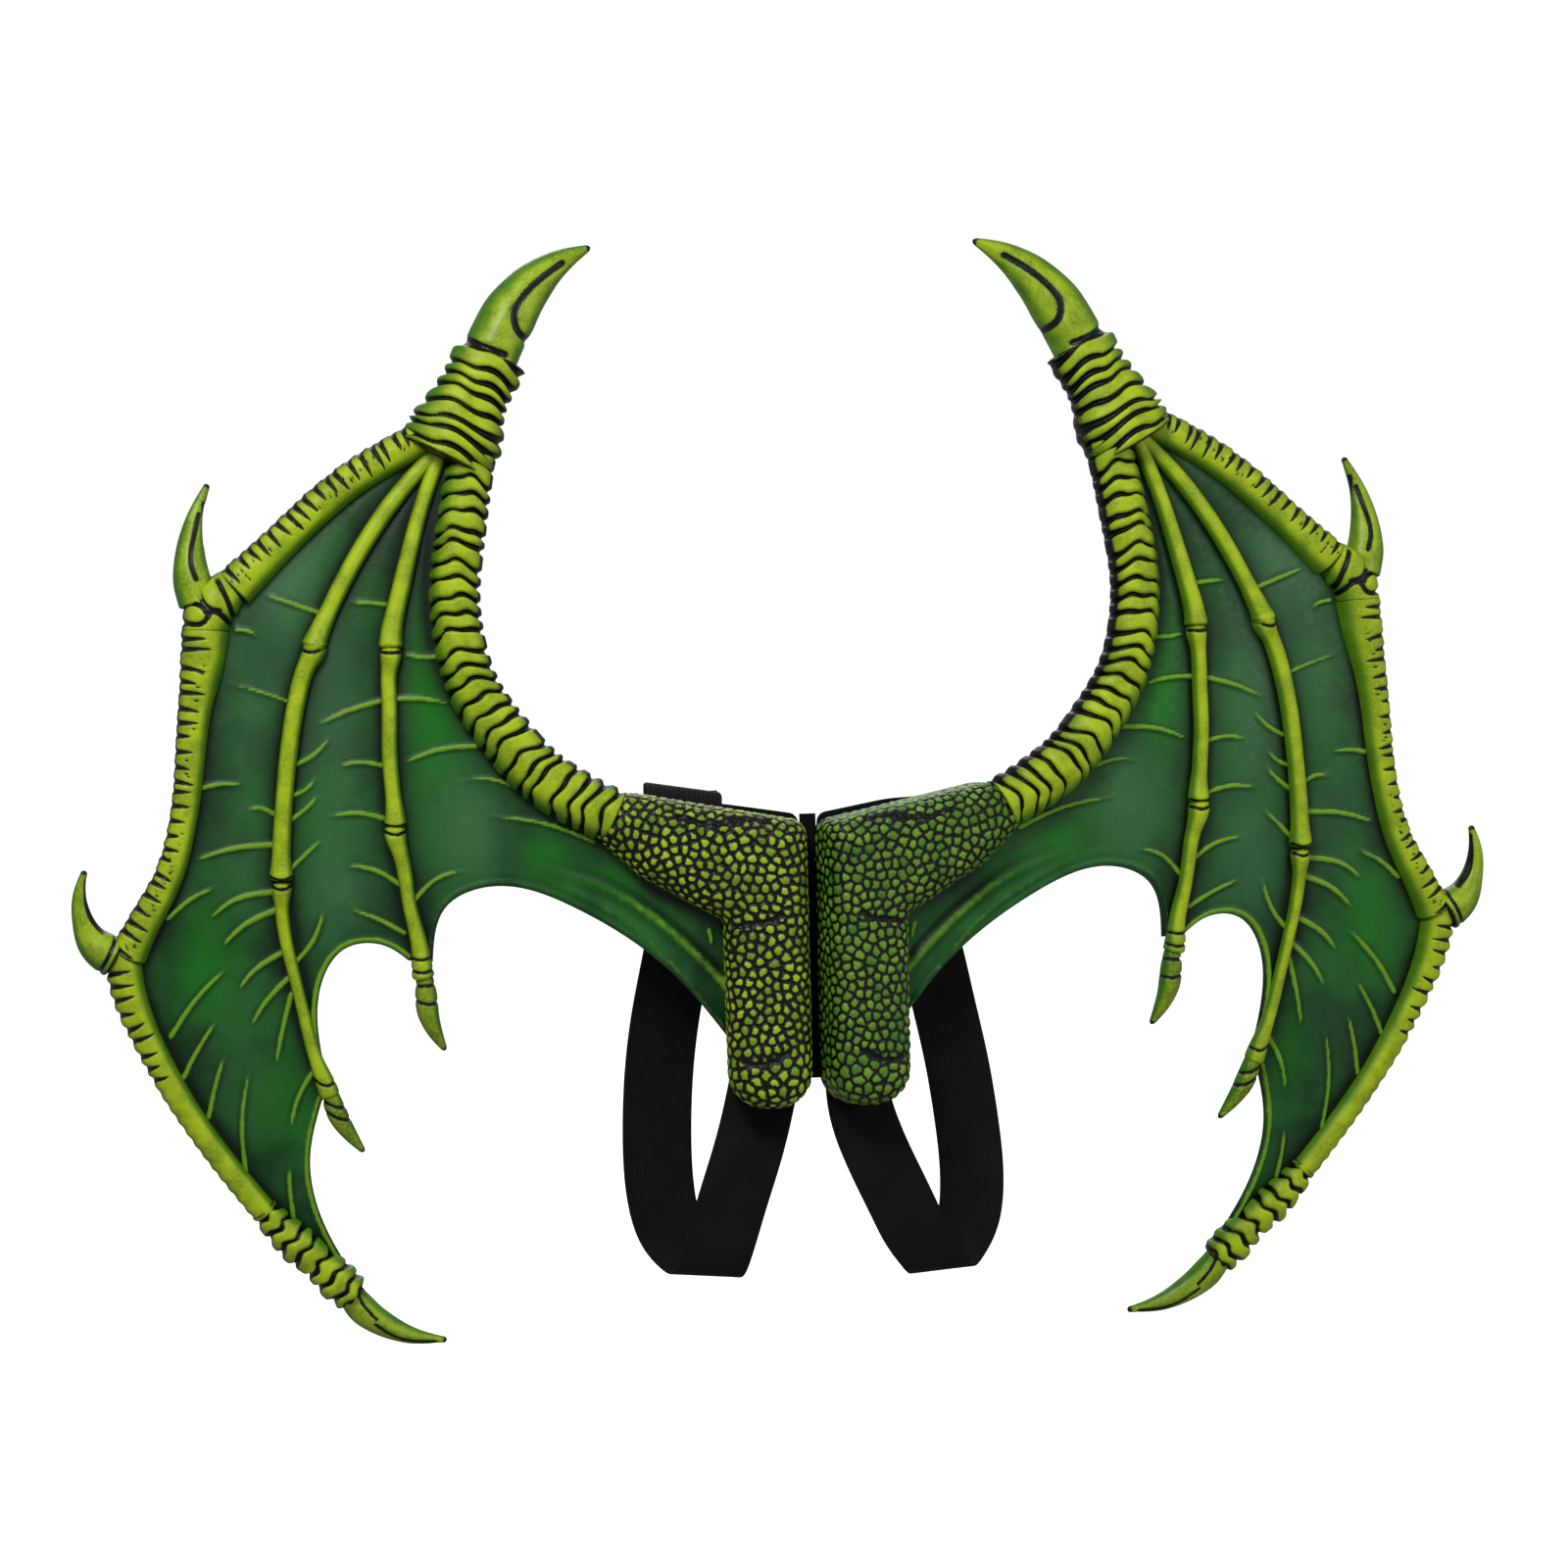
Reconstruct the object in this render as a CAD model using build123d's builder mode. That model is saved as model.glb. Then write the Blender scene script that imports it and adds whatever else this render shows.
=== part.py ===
"""A pair of moulded dragon wings, worn on the back with two elastic shoulder loops.

The wings are mirror images, joined at the middle by a flexible black web. Each wing is built
lying flat in its own frame: X runs outwards from the hinge, Y runs up the wing, and Z comes
out of its decorated face. The finished pieces are then stood up at each side of the web.
In the part's frame +Z is up, +X is to the right as one looks at the decorated face, which
looks along -Y. The origin is on the back of the centre web, which rests on the wearer.
"""

import os
from math import sqrt

from build123d import *

# Driving dimensions, in millimetres and degrees
BOW_RADIUS = 1000          # the wing is bowed, convex to the front, about a level axis
BOW_CREST = 150            # height up the wing where it stands out furthest
CREST_DEPTH = 24           # how far out the membrane's front is there
MEMBRANE_THICKNESS = 5
HINGE_OFFSET = 5           # from the centre line to each hinge line
SWEEP = 10                 # each wing is turned back this far at rest
SPLAY = 1.2                # and its sheet and bones are tilted this far up, about PIVOT
PIVOT = Vector(35, 30)     # in the pad, in the wing's own frame
WEB_THICKNESS = 2
WEB_LENGTH = 152
WEB_MIDDLE = 7             # height of the web's middle
WEB_GAP = 0.3              # between the web and the wing pieces beside it
BACKING_THICKNESS = 3
BACKING_CORNER = 5
PAD_DEPTH = 35
PAD_EDGE_RADIUS = 13
PAD_FOOT_RADIUS = 21
PAD_CORNER_RADIUS = 8
WEBBING_WIDTH = 40
WEBBING_THICKNESS = 2
STRAP_ACROSS = 71          # middle of the webbing where it hangs behind the top of the pad
NEAR_LAYER = -4.2          # depth of the webbing's end, sewn behind the backing plate
FAR_LAYER = -10.2          # depth of the side of the loop that hangs down
LOOP_TOP = {"right": 82, "left": 96}
SLIDER_REST = {"right": 62, "left": 87.5}
SLIDER_LENGTH = 17
SLIDER_WALL = 1.8
SLIDER_DEPTH = 13
SLIDER_CORNER = 2
SLOT_WIDTH = WEBBING_WIDTH + 1.4
SLOT_HEIGHT = 3.4
WIRE_DIAMETER = 3
WIRE_LIFT = 3.3            # the wire runs this far in front of the membrane's front
CHANNEL_DIAMETER = 3.2     # the channel that the foam leaves round the wire
MOULD_LENGTH = 600         # longer than a wing, for the bowed block that shapes it
MOULD_START = -50
SHEET_BLANK = 250          # deeper than the bow, for the sheet before it is shaped
SHEET_BLANK_BACK = -150

WING = Plane(
    origin=(HINGE_OFFSET, 0, 0),
    x_dir=Vector(1, 0, 0).rotate(Axis.Z, SWEEP),
    z_dir=Vector(0, -1, 0).rotate(Axis.Z, SWEEP),
)

os.makedirs("parts", exist_ok=True)


def write(name, part):
    """Label a finished piece and write its STEP file."""
    part.label = name
    export_step(part, f"parts/{name}.step")


def write_pair(name, part):
    """Stand a piece of the wing up at the right of the web, and mirror it for the left."""
    right = part.moved(WING.location)
    write("right_" + name, right)
    write("left_" + name, mirror(right, about=Plane.YZ))


def on_mould(across, up, lift=0.0):
    """The point of the bowed front face at this place, raised by lift. Across starts at the centre."""
    flat = PIVOT + (Vector(across - HINGE_OFFSET, up) - PIVOT).rotate(Axis.Z, SPLAY)
    bow = sqrt(BOW_RADIUS**2 - (flat.Y - BOW_CREST) ** 2) - BOW_RADIUS
    return flat + Vector(0, 0, CREST_DEPTH + bow + lift)


def bar(stations, lift=0.0, height=1.0):
    """A tapered round bar along the wing. Each station is (across, up, width)."""
    spots = [on_mould(across, up, lift * width) for across, up, width in stations]
    last = len(stations) - 1
    rings = []
    for number, (across, up, width) in enumerate(stations):
        heading = spots[min(number + 1, last)] - spots[max(number - 1, 0)]
        with BuildSketch(Plane(origin=spots[number], x_dir=(0, 0, 1), z_dir=heading)) as ring:
            Ellipse(height * width / 2, width / 2)
        rings.append(ring.sketch)
    loft(rings, ruled=True)


def fingers_bar(stations):
    """A bone that lies on the front of the membrane, with its back cut to the bowed face."""
    bar(stations, lift=0.2)
    add(mould_block, mode=Mode.SUBTRACT)


def cut_away(*pieces):
    """Take the room of the neighbouring pieces out of the one being made."""
    for piece in pieces:
        add(piece.part, mode=Mode.SUBTRACT)


# --- The bowed face that the membrane and the bones share -------------------------------------
splayed = Plane(
    origin=PIVOT - PIVOT.rotate(Axis.Z, SPLAY),
    x_dir=Vector(1, 0, 0).rotate(Axis.Z, SPLAY),
)
bow_axis = Plane(
    origin=(MOULD_START, BOW_CREST, CREST_DEPTH - BOW_RADIUS), x_dir=(0, 1, 0), z_dir=(1, 0, 0)
)

with BuildPart() as mould:
    with BuildSketch(bow_axis):
        Circle(BOW_RADIUS)
    extrude(amount=MOULD_LENGTH)
mould_block = mould.part

# --- The wire that stiffens the leading edge, bent to run inside the arm and the bones --------
wire_route = [
    on_mould(across, up, WIRE_LIFT)
    for across, up in [
        (100, 76), (139, 97), (175, 130), (199, 175), (204, 225), (199, 279), (212, 303),
        (262, 278), (304, 241), (338, 209), (350, 160), (355, 104), (366, 51), (391, 4),
        (379, -41), (349, -95), (314, -142),
    ]
]
wire_bends = [30, 60, 80, 80, 60, 9, 30, 60, 25, 60, 80, 60, 25, 40, 80]

with BuildPart() as edge_wire:
    with BuildLine() as wire_line:
        FilletPolyline(*wire_route, radius=wire_bends)
    with BuildSketch(Plane(origin=wire_line.line @ 0, z_dir=wire_line.line % 0)):
        Circle(WIRE_DIAMETER / 2)
    sweep()

with BuildPart() as wire_channel:
    with BuildSketch(Plane(origin=wire_line.line @ 0, z_dir=wire_line.line % 0)):
        Circle(CHANNEL_DIAMETER / 2)
    sweep(path=wire_line.line)

# --- The shoulder pad: a thick L of foam with a rounded front edge ----------------------------
with BuildPart() as shoulder_pad:
    with BuildSketch(Plane.XY.offset(BACKING_THICKNESS)):
        with BuildLine():
            Polyline(
                (-3.5, 79), (45, 88), (102, 99), (120, 76), (93, 51), (45, 24), (44, -84),
                (-3.5, -84),
                close=True,
            )
        make_face()
        fillet(vertices().group_by(Axis.Y)[0], PAD_FOOT_RADIUS)
        fillet(vertices().filter_by(lambda corner: corner.Y > 0), PAD_CORNER_RADIUS)
    extrude(amount=PAD_DEPTH)
    fillet(faces().sort_by(Axis.Z)[-1].edges(), PAD_EDGE_RADIUS)
    cut_away(wire_channel)

# --- The membrane: one thin bowed sheet with three scallops along its lower edge --------------
with BuildPart() as wing_membrane:
    with BuildSketch(splayed.offset(SHEET_BLANK_BACK)):
        with BuildLine():
            Spline((38, -50), (73, -8), (130, 31), (180, 43), (203, 32), (211, 0))
            Line((211, 0), (225, 1))
            Spline((225, 1), (237, 9), (261, 8), (274, -10), (276, -46), (270, -75))
            Line((270, -75), (275, -80))
            Spline((275, -80), (282, -113), (275, -151), (260, -180))
            Spline((260, -180), (284, -167), (317, -131), (344, -95), (374, -41), (387, -12))
            Spline((387, -12), (385, 12), (361, 50), (349, 104), (344, 160), (338, 200))
            Spline((338, 200), (321, 218), (299, 240), (257, 278), (205, 305))
            Spline((205, 305), (192, 279), (198, 230), (194, 175), (170, 132), (134, 97), (95, 78))
            Line((95, 78), (38, 30))
            Line((38, 30), (38, -50))
        make_face()
    extrude(amount=SHEET_BLANK)
    add(mould_block, mode=Mode.INTERSECT)
    with BuildSketch(bow_axis):
        Circle(BOW_RADIUS - MEMBRANE_THICKNESS)
    extrude(amount=MOULD_LENGTH, mode=Mode.SUBTRACT)
    cut_away(shoulder_pad)

# --- The wrist: a wrinkled collar and the big thumb claw --------------------------------------
with BuildPart() as wrist_collar:
    bar([(208, 293, 50), (200, 310, 48), (190, 332, 41), (182, 346, 37)], height=0.8)
    cut_away(wing_membrane, wire_channel)

with BuildPart() as thumb_claw:
    bar([(184, 342, 33), (170, 371, 32), (156, 389, 24), (139, 402, 13), (124, 409, 3)], height=0.9)
    cut_away(wrist_collar)

# --- The inner arm: from the pad up to the wrist ----------------------------------------------
with BuildPart() as inner_arm:
    bar(
        [
            (110, 82, 30), (139, 97, 31), (157, 110, 31), (175, 131, 30), (189, 151, 29),
            (198, 175, 28), (202.5, 207, 27.5), (200.5, 243, 27.5), (197, 285, 27),
        ]
    )
    cut_away(shoulder_pad, wrist_collar, wing_membrane, wire_channel)

# --- The leading edge: three bones, with a knuckle and a spur at the elbow --------------------
with BuildPart() as elbow_knuckle:
    bar([(328, 217, 20), (337, 209, 29), (343, 199, 29), (346, 186, 24)])
    cut_away(wing_membrane, wire_channel)

with BuildPart() as upper_leading_bone:
    bar([(218, 303, 16), (262, 278, 18), (304, 241, 19), (331, 214, 18)])
    cut_away(wrist_collar, elbow_knuckle, wing_membrane, wire_channel)

with BuildPart() as elbow_spur:
    bar([(348, 204, 22), (352, 219, 22), (353, 237, 16), (350, 256, 9), (343, 274, 3)])
    cut_away(elbow_knuckle, wire_channel)

with BuildPart() as middle_leading_bone:
    bar(
        [
            (345, 191, 20), (349, 160, 20), (353, 131, 18), (355, 104, 17), (359, 77, 16),
            (368, 47, 17), (380, 25, 19), (391, 3, 22),
        ]
    )
    cut_away(elbow_knuckle, wing_membrane, wire_channel)

with BuildPart() as lower_leading_bone:
    bar(
        [
            (392, 9, 15), (392, -4, 21), (389.5, -18, 20), (380.5, -42, 17), (350.5, -96, 14.5),
            (312, -147, 15),
        ]
    )
    cut_away(middle_leading_bone, wing_membrane, wire_channel)

with BuildPart() as outer_spur:
    bar([(396, 3, 25), (408, 11, 21), (415, 24, 13), (417, 40, 8), (414, 54, 3)])
    cut_away(middle_leading_bone, lower_leading_bone, wing_membrane, wire_channel)

with BuildPart() as tip_knuckle:
    bar([(315, -143, 11), (308, -151, 17), (290, -169, 20), (275, -183, 21), (262, -196, 20)])
    cut_away(lower_leading_bone, wing_membrane, wire_channel)

with BuildPart() as tip_claw:
    bar([(266, -192, 15), (258, -203, 18), (246, -212, 15), (230, -219, 10), (209, -222, 3)])
    cut_away(tip_knuckle)

# --- The second finger: three thin bones and a claw, laid on the membrane ---------------------
with BuildPart() as second_finger_upper:
    fingers_bar([(222, 282, 8), (238, 263, 8), (259, 231, 9), (274, 202, 9), (284, 179, 14)])
    cut_away(wrist_collar, upper_leading_bone)

with BuildPart() as second_finger_middle:
    fingers_bar([(282, 184, 9), (293, 149, 10), (300, 95, 10), (302, 60, 10), (302, 47, 13)])
    cut_away(second_finger_upper)

with BuildPart() as second_finger_lower:
    fingers_bar([(302, 51, 8), (302, 33, 8), (292, -20, 7), (283, -56, 7), (275, -77, 11)])
    cut_away(second_finger_middle)

with BuildPart() as second_finger_claw:
    bar([(276, -73, 7), (270, -90, 12), (263, -101, 8), (256, -110, 3)], lift=0.2)
    cut_away(second_finger_lower, wing_membrane)

# --- The third finger, next to the arm --------------------------------------------------------
with BuildPart() as third_finger_upper:
    fingers_bar([(213, 284, 8), (222, 258, 8), (229, 231, 9), (236, 202, 9), (239, 179, 14)])
    cut_away(wrist_collar, inner_arm, second_finger_upper)

with BuildPart() as third_finger_middle:
    fingers_bar([(239, 184, 9), (240, 149, 9), (240, 122, 9), (238, 95, 9), (237, 77, 13)])
    cut_away(third_finger_upper)

with BuildPart() as third_finger_lower:
    fingers_bar([(238, 81, 8), (234, 59, 8), (229, 33, 8), (223, 6, 9), (221, -10, 13)])
    cut_away(third_finger_middle)

with BuildPart() as third_finger_claw:
    bar([(222, -6, 8), (219, -28, 13), (215, -40, 9), (209, -51, 3)], lift=0.2)
    cut_away(third_finger_lower, wing_membrane)

# --- The backing plate behind the pad, which the web and the shoulder loop are sewn to --------
with BuildPart() as backing_plate:
    with BuildSketch():
        with BuildLine():
            Polyline(
                (WEB_GAP, 83), (44, 90), (98, 92), (98, 62), (38, 28), (38, -70), (WEB_GAP, -70),
                close=True,
            )
        make_face()
        fillet(vertices().group_by(Axis.X)[1:], BACKING_CORNER)
    extrude(amount=BACKING_THICKNESS)

# --- The shoulder loop: elastic webbing from the pad's top, down and back up to its foot ------
# How each loop hangs: (across, up, depth), and how far the webbing's width axis tips upwards
LOOP_HANG = {
    "right": [
        ((79, 8, -14), 0), ((89, -26, -19), 0), ((99, -64, -23), 0), ((105, -100, -24), 0),
        ((107, -136, -23), 0), ((102, -162, -21), 0), ((92, -178, -17), 0.03),
        ((81, -184, -9), 0.06), ((72, -177, -2), 0.15), ((62, -163, 1), 0.28),
        ((51, -142, 2), 0.4), ((37, -112, 1), 0.4), ((28, -82, -1.2), 0.4), ((26, -57, -1.2), 0.4),
    ],
    "left": [
        ((76, 4, -17), 0), ((83, -30, -29), 0), ((88, -66, -37), 0), ((90, -102, -38), 0),
        ((88.5, -138, -34), 0), ((81, -165, -29), 0.02), ((71, -178, -20), 0.05),
        ((64, -181.5, -11), 0.08), ((60, -175, -3), 0.14), ((55, -160, 1), 0.2),
        ((48, -138, 2), 0.26), ((38, -108, 1), 0.28), ((31, -82, -1.2), 0.28),
        ((25.5, -57, -1.2), 0.28),
    ],
}


def make_loop(side):
    """One loop of webbing, as a band that is open at both of its sewn ends."""
    top = LOOP_TOP[side]
    stations = [
        ((STRAP_ACROSS, 32, NEAR_LAYER), 0),
        ((STRAP_ACROSS, top, NEAR_LAYER), 0),
        ((STRAP_ACROSS, top + 2.1, NEAR_LAYER - 0.9), 0),
        ((STRAP_ACROSS, top + 3, (NEAR_LAYER + FAR_LAYER) / 2), 0),
        ((STRAP_ACROSS, top + 2.1, FAR_LAYER + 0.9), 0),
        ((STRAP_ACROSS, top, FAR_LAYER), 0),
        ((STRAP_ACROSS, 36, FAR_LAYER), 0),
        *LOOP_HANG[side],
    ]
    spots = [Vector(across - HINGE_OFFSET, up, depth) for (across, up, depth), tip in stations]
    last = len(spots) - 1
    rings = []
    for number, (place, tip) in enumerate(stations):
        heading = spots[min(number + 1, last)] - spots[max(number - 1, 0)]
        wide = Vector(1, tip, 0).normalized() * (WEBBING_WIDTH / 2)
        thick = heading.cross(wide).normalized() * (WEBBING_THICKNESS / 2)
        rings.append(
            [spots[number] + wide * x + thick * y for x, y in ((-1, -1), (1, -1), (1, 1), (-1, 1))]
        )
    faces = [Face(Wire.make_polygon(ring, close=True)) for ring in (rings[0], rings[-1])]
    for near, far in zip(rings, rings[1:]):
        for i in range(4):
            j = (i + 1) % 4
            faces.append(Face(Wire.make_polygon([near[i], near[j], far[j]], close=True)))
            faces.append(Face(Wire.make_polygon([near[i], far[j], far[i]], close=True)))
    return Solid(Shell(faces)).moved(WING.location)


with BuildPart() as upper_tab:
    with BuildSketch():
        with Locations((STRAP_ACROSS - HINGE_OFFSET, 42)):
            Rectangle(WEBBING_WIDTH, 18)
    extrude(amount=NEAR_LAYER + WEBBING_THICKNESS / 2)

with BuildPart() as lower_tab:
    foot = Plane(origin=(22.6, -61, -WEBBING_THICKNESS - 0.4), x_dir=(1, 0.28, 0), z_dir=(0, 0, -1))
    with BuildSketch(foot):
        Rectangle(WEBBING_WIDTH - 2, 16)
    extrude(amount=WEBBING_THICKNESS)

# --- The slider: a moulded frame with a middle bar, round both layers of the webbing ----------
def make_slider(height):
    """A slider whose middle is at this height up the wing, with a slot for each layer."""
    across, depth = STRAP_ACROSS - HINGE_OFFSET, (NEAR_LAYER + FAR_LAYER) / 2
    level = Plane(origin=(0, height - SLIDER_LENGTH / 2, 0), x_dir=(1, 0, 0), z_dir=(0, 1, 0))
    with BuildPart() as slider:
        with BuildSketch(level):
            with Locations((across, -depth)):
                RectangleRounded(SLOT_WIDTH + 2 * SLIDER_WALL, SLIDER_DEPTH, SLIDER_CORNER)
            with Locations((across, -NEAR_LAYER), (across, -FAR_LAYER)):
                Rectangle(SLOT_WIDTH, SLOT_HEIGHT, mode=Mode.SUBTRACT)
        extrude(amount=SLIDER_LENGTH)
    return slider.part.moved(WING.location)


# --- The centre web, between the two hinge lines ----------------------------------------------
with BuildPart() as centre_web:
    with BuildSketch(Plane.XZ):
        with Locations((0, WEB_MIDDLE)):
            Rectangle(2 * (HINGE_OFFSET - WEB_GAP), WEB_LENGTH)
    extrude(amount=WEB_THICKNESS)

# --- Write every piece ------------------------------------------------------------------------
write("centre_web", centre_web.part)
write("right_slider", make_slider(SLIDER_REST["right"]))
write("left_slider", mirror(make_slider(SLIDER_REST["left"]), about=Plane.YZ))
write("right_shoulder_loop", make_loop("right"))
write("left_shoulder_loop", mirror(make_loop("left"), about=Plane.YZ))

write_pair("shoulder_pad", shoulder_pad.part)
write_pair("wing_membrane", wing_membrane.part)
write_pair("edge_wire", edge_wire.part)
write_pair("wrist_collar", wrist_collar.part)
write_pair("thumb_claw", thumb_claw.part)
write_pair("inner_arm", inner_arm.part)
write_pair("elbow_knuckle", elbow_knuckle.part)
write_pair("upper_leading_bone", upper_leading_bone.part)
write_pair("elbow_spur", elbow_spur.part)
write_pair("middle_leading_bone", middle_leading_bone.part)
write_pair("lower_leading_bone", lower_leading_bone.part)
write_pair("outer_spur", outer_spur.part)
write_pair("tip_knuckle", tip_knuckle.part)
write_pair("tip_claw", tip_claw.part)
write_pair("second_finger_upper", second_finger_upper.part)
write_pair("second_finger_middle", second_finger_middle.part)
write_pair("second_finger_lower", second_finger_lower.part)
write_pair("second_finger_claw", second_finger_claw.part)
write_pair("third_finger_upper", third_finger_upper.part)
write_pair("third_finger_middle", third_finger_middle.part)
write_pair("third_finger_lower", third_finger_lower.part)
write_pair("third_finger_claw", third_finger_claw.part)
write_pair("backing_plate", backing_plate.part)
write_pair("upper_tab", upper_tab.part)
write_pair("lower_tab", lower_tab.part)
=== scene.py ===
import math

import bpy
import numpy as np
from mathutils import Matrix, Vector, kdtree


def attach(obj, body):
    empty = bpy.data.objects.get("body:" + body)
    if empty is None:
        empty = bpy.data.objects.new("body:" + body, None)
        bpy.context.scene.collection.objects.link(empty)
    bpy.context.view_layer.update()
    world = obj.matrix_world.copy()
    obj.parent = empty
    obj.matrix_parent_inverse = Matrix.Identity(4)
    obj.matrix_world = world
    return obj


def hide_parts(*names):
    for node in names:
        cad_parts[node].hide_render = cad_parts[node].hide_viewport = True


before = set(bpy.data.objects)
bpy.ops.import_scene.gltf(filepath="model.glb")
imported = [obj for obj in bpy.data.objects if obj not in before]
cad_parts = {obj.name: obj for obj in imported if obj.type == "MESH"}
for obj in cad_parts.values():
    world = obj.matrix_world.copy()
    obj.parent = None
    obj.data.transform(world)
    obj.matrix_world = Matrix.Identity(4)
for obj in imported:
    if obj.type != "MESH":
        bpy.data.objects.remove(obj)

bpy.ops.object.select_all(action="DESELECT")
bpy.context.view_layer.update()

# ---------------------------------------------------------------------------------------------
# The room: the wings stand on their tip claws on a white studio floor, under three big soft
# lamps, with the camera a few metres away and a little to the left of square on.
CAMERA_DISTANCE = 5.0
CAMERA_AZIMUTH = math.radians(-11.9)
CAMERA_RISE = math.radians(1.8)
CAMERA_ROLL = math.radians(1.4)
LOOK_AT = Vector((-0.01295, 0, 0.10025))
FLOOR_LEVEL = -0.2245

back = Vector(
    (
        math.sin(CAMERA_AZIMUTH) * math.cos(CAMERA_RISE),
        -math.cos(CAMERA_AZIMUTH) * math.cos(CAMERA_RISE),
        math.sin(CAMERA_RISE),
    )
)
level = Vector((math.cos(CAMERA_AZIMUTH), math.sin(CAMERA_AZIMUTH), 0))
upright = back.cross(level)
camera_x = level * math.cos(CAMERA_ROLL) - upright * math.sin(CAMERA_ROLL)
camera_y = level * math.sin(CAMERA_ROLL) + upright * math.cos(CAMERA_ROLL)
turned = Matrix((camera_x, camera_y, back)).transposed().to_4x4()
bpy.ops.object.camera_add()
camera = bpy.context.object
camera.matrix_world = Matrix.Translation(LOOK_AT + back * CAMERA_DISTANCE) @ turned
camera.data.lens = 200.1
camera.data.sensor_width = 36
camera.data.clip_end = 50
bpy.context.scene.camera = camera


def hang_lamp(place, width, watts):
    """A square soft lamp at this place, facing the middle of the wings."""
    bpy.ops.object.light_add(type="AREA", location=place)
    lamp = bpy.context.object
    lamp.data.size = width
    lamp.data.energy = watts
    aim = Vector((0, 0, 0.05)) - Vector(place)
    lamp.rotation_euler = aim.to_track_quat("-Z", "Y").to_euler()


hang_lamp((-1.1, -1.9, 1.9), width=0.8, watts=52)
hang_lamp((1.9, -1.7, 0.7), width=1.3, watts=14)
hang_lamp((0.3, 1.7, 1.6), width=1.4, watts=18)

studio = bpy.data.worlds.new("white studio")
studio.use_nodes = True
bpy.context.scene.world = studio
air = studio.node_tree
seen = air.nodes["Background"]
seen.inputs["Color"].default_value = (1, 1, 1, 1)
lit = air.nodes.new("ShaderNodeBackground")
lit.inputs["Color"].default_value = (0.93, 0.96, 1, 1)
lit.inputs["Strength"].default_value = 0.34
ray = air.nodes.new("ShaderNodeLightPath")
choice = air.nodes.new("ShaderNodeMixShader")
air.links.new(ray.outputs["Is Camera Ray"], choice.inputs["Fac"])
air.links.new(lit.outputs[0], choice.inputs[1])
air.links.new(seen.outputs[0], choice.inputs[2])
air.links.new(choice.outputs[0], air.nodes["World Output"].inputs["Surface"])
bpy.context.scene.view_settings.view_transform = "Standard"

bpy.ops.mesh.primitive_plane_add(size=60, location=(0, 0, FLOOR_LEVEL))
floor = bpy.context.object
floor.name = "studio_floor"
white = bpy.data.materials.new("white floor")
white.use_nodes = True
white_shader = white.node_tree.nodes["Principled BSDF"].inputs
white_shader["Base Color"].default_value = (0.9, 0.9, 0.9, 1)
white_shader["Roughness"].default_value = 0.9
white_shader["Emission Color"].default_value = (1, 1, 1, 1)
white_shader["Emission Strength"].default_value = 0.85
floor.data.materials.append(white)
floor.visible_diffuse = floor.visible_glossy = floor.visible_shadow = False

# ---------------------------------------------------------------------------------------------
# The membrane: one sheet of moulded foam latex for each wing, bowed forwards, with a rolled rim
# round its three scallops, raised veins that branch off the bones, and a long fold by the pad.
# It is dyed dark green, with lighter green blown on, grey-green painted sheen in patches, painted
# shade beside the bones, the pad, the fold and the veins, and lime brushed over whatever stands up.
HINGE_OFFSET = 5
SWEEP = math.radians(10)
SPLAY = math.radians(1.2)
PIVOT_ACROSS, PIVOT_UP = 35, 30
CREST_DEPTH, BOW_RADIUS, BOW_CREST = 24, 1000, 150
MEMBRANE_THICKNESS = 5
SIDES = ((1, "right"), (-1, "left"))


def on_mould(across, up, lift=0.0):
    """Points of the bowed front face in the wing's own frame, in mm: outwards, up and forwards."""
    x = np.asarray(across, float) - HINGE_OFFSET - PIVOT_ACROSS
    y = np.asarray(up, float) - PIVOT_UP
    out = PIVOT_ACROSS + x * math.cos(SPLAY) - y * math.sin(SPLAY)
    height = PIVOT_UP + x * math.sin(SPLAY) + y * math.cos(SPLAY)
    bow = np.sqrt(BOW_RADIUS**2 - (height - BOW_CREST) ** 2) - BOW_RADIUS
    return np.stack([out, height, CREST_DEPTH + bow + lift], axis=-1)


def stood_up(points, side):
    """Points of the wing's own frame, in mm, at their place beside the web, in metres."""
    out, height, forward = np.asarray(points, float).T
    x = side * (HINGE_OFFSET + out * math.cos(SWEEP) + forward * math.sin(SWEEP))
    return np.stack([x, out * math.sin(SWEEP) - forward * math.cos(SWEEP), height], axis=-1) / 1000


def smooth_through(knots, count):
    """A smooth line through these knots, as this many points evenly spaced along it."""
    knots = np.asarray(knots, float)
    gaps = np.linalg.norm(np.diff(knots[:, :3], axis=0), axis=1)
    reach = np.concatenate([[0], np.cumsum(gaps)])
    system, wanted = np.eye(len(knots)), np.zeros_like(knots)
    for i in range(1, len(knots) - 1):
        system[i, i - 1 : i + 2] = gaps[i - 1], 2 * (gaps[i - 1] + gaps[i]), gaps[i]
        wanted[i] = 6 * (
            (knots[i + 1] - knots[i]) / gaps[i] - (knots[i] - knots[i - 1]) / gaps[i - 1]
        )
    bend = np.linalg.solve(system, wanted)
    place = np.linspace(0, reach[-1], count)
    i = np.clip(np.searchsorted(reach, place, "right") - 1, 0, len(knots) - 2)
    gap = gaps[i][:, None]
    a = (reach[i + 1] - place)[:, None] / gap
    b = 1 - a
    return (
        a * knots[i]
        + b * knots[i + 1]
        + ((a**3 - a) * bend[i] + (b**3 - b) * bend[i + 1]) * gap**2 / 6
    )


def ease(low, high, value):
    """0 below low, 1 above high, and a smooth step between them."""
    t = np.clip((np.asarray(value, float) - low) / (high - low), 0, 1)
    return t * t * (3 - 2 * t)


def hump(distance, width, power=2):
    """1 where the distance is nothing, falling off smoothly about this width away."""
    return np.exp(-((distance / width) ** power))


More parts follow.
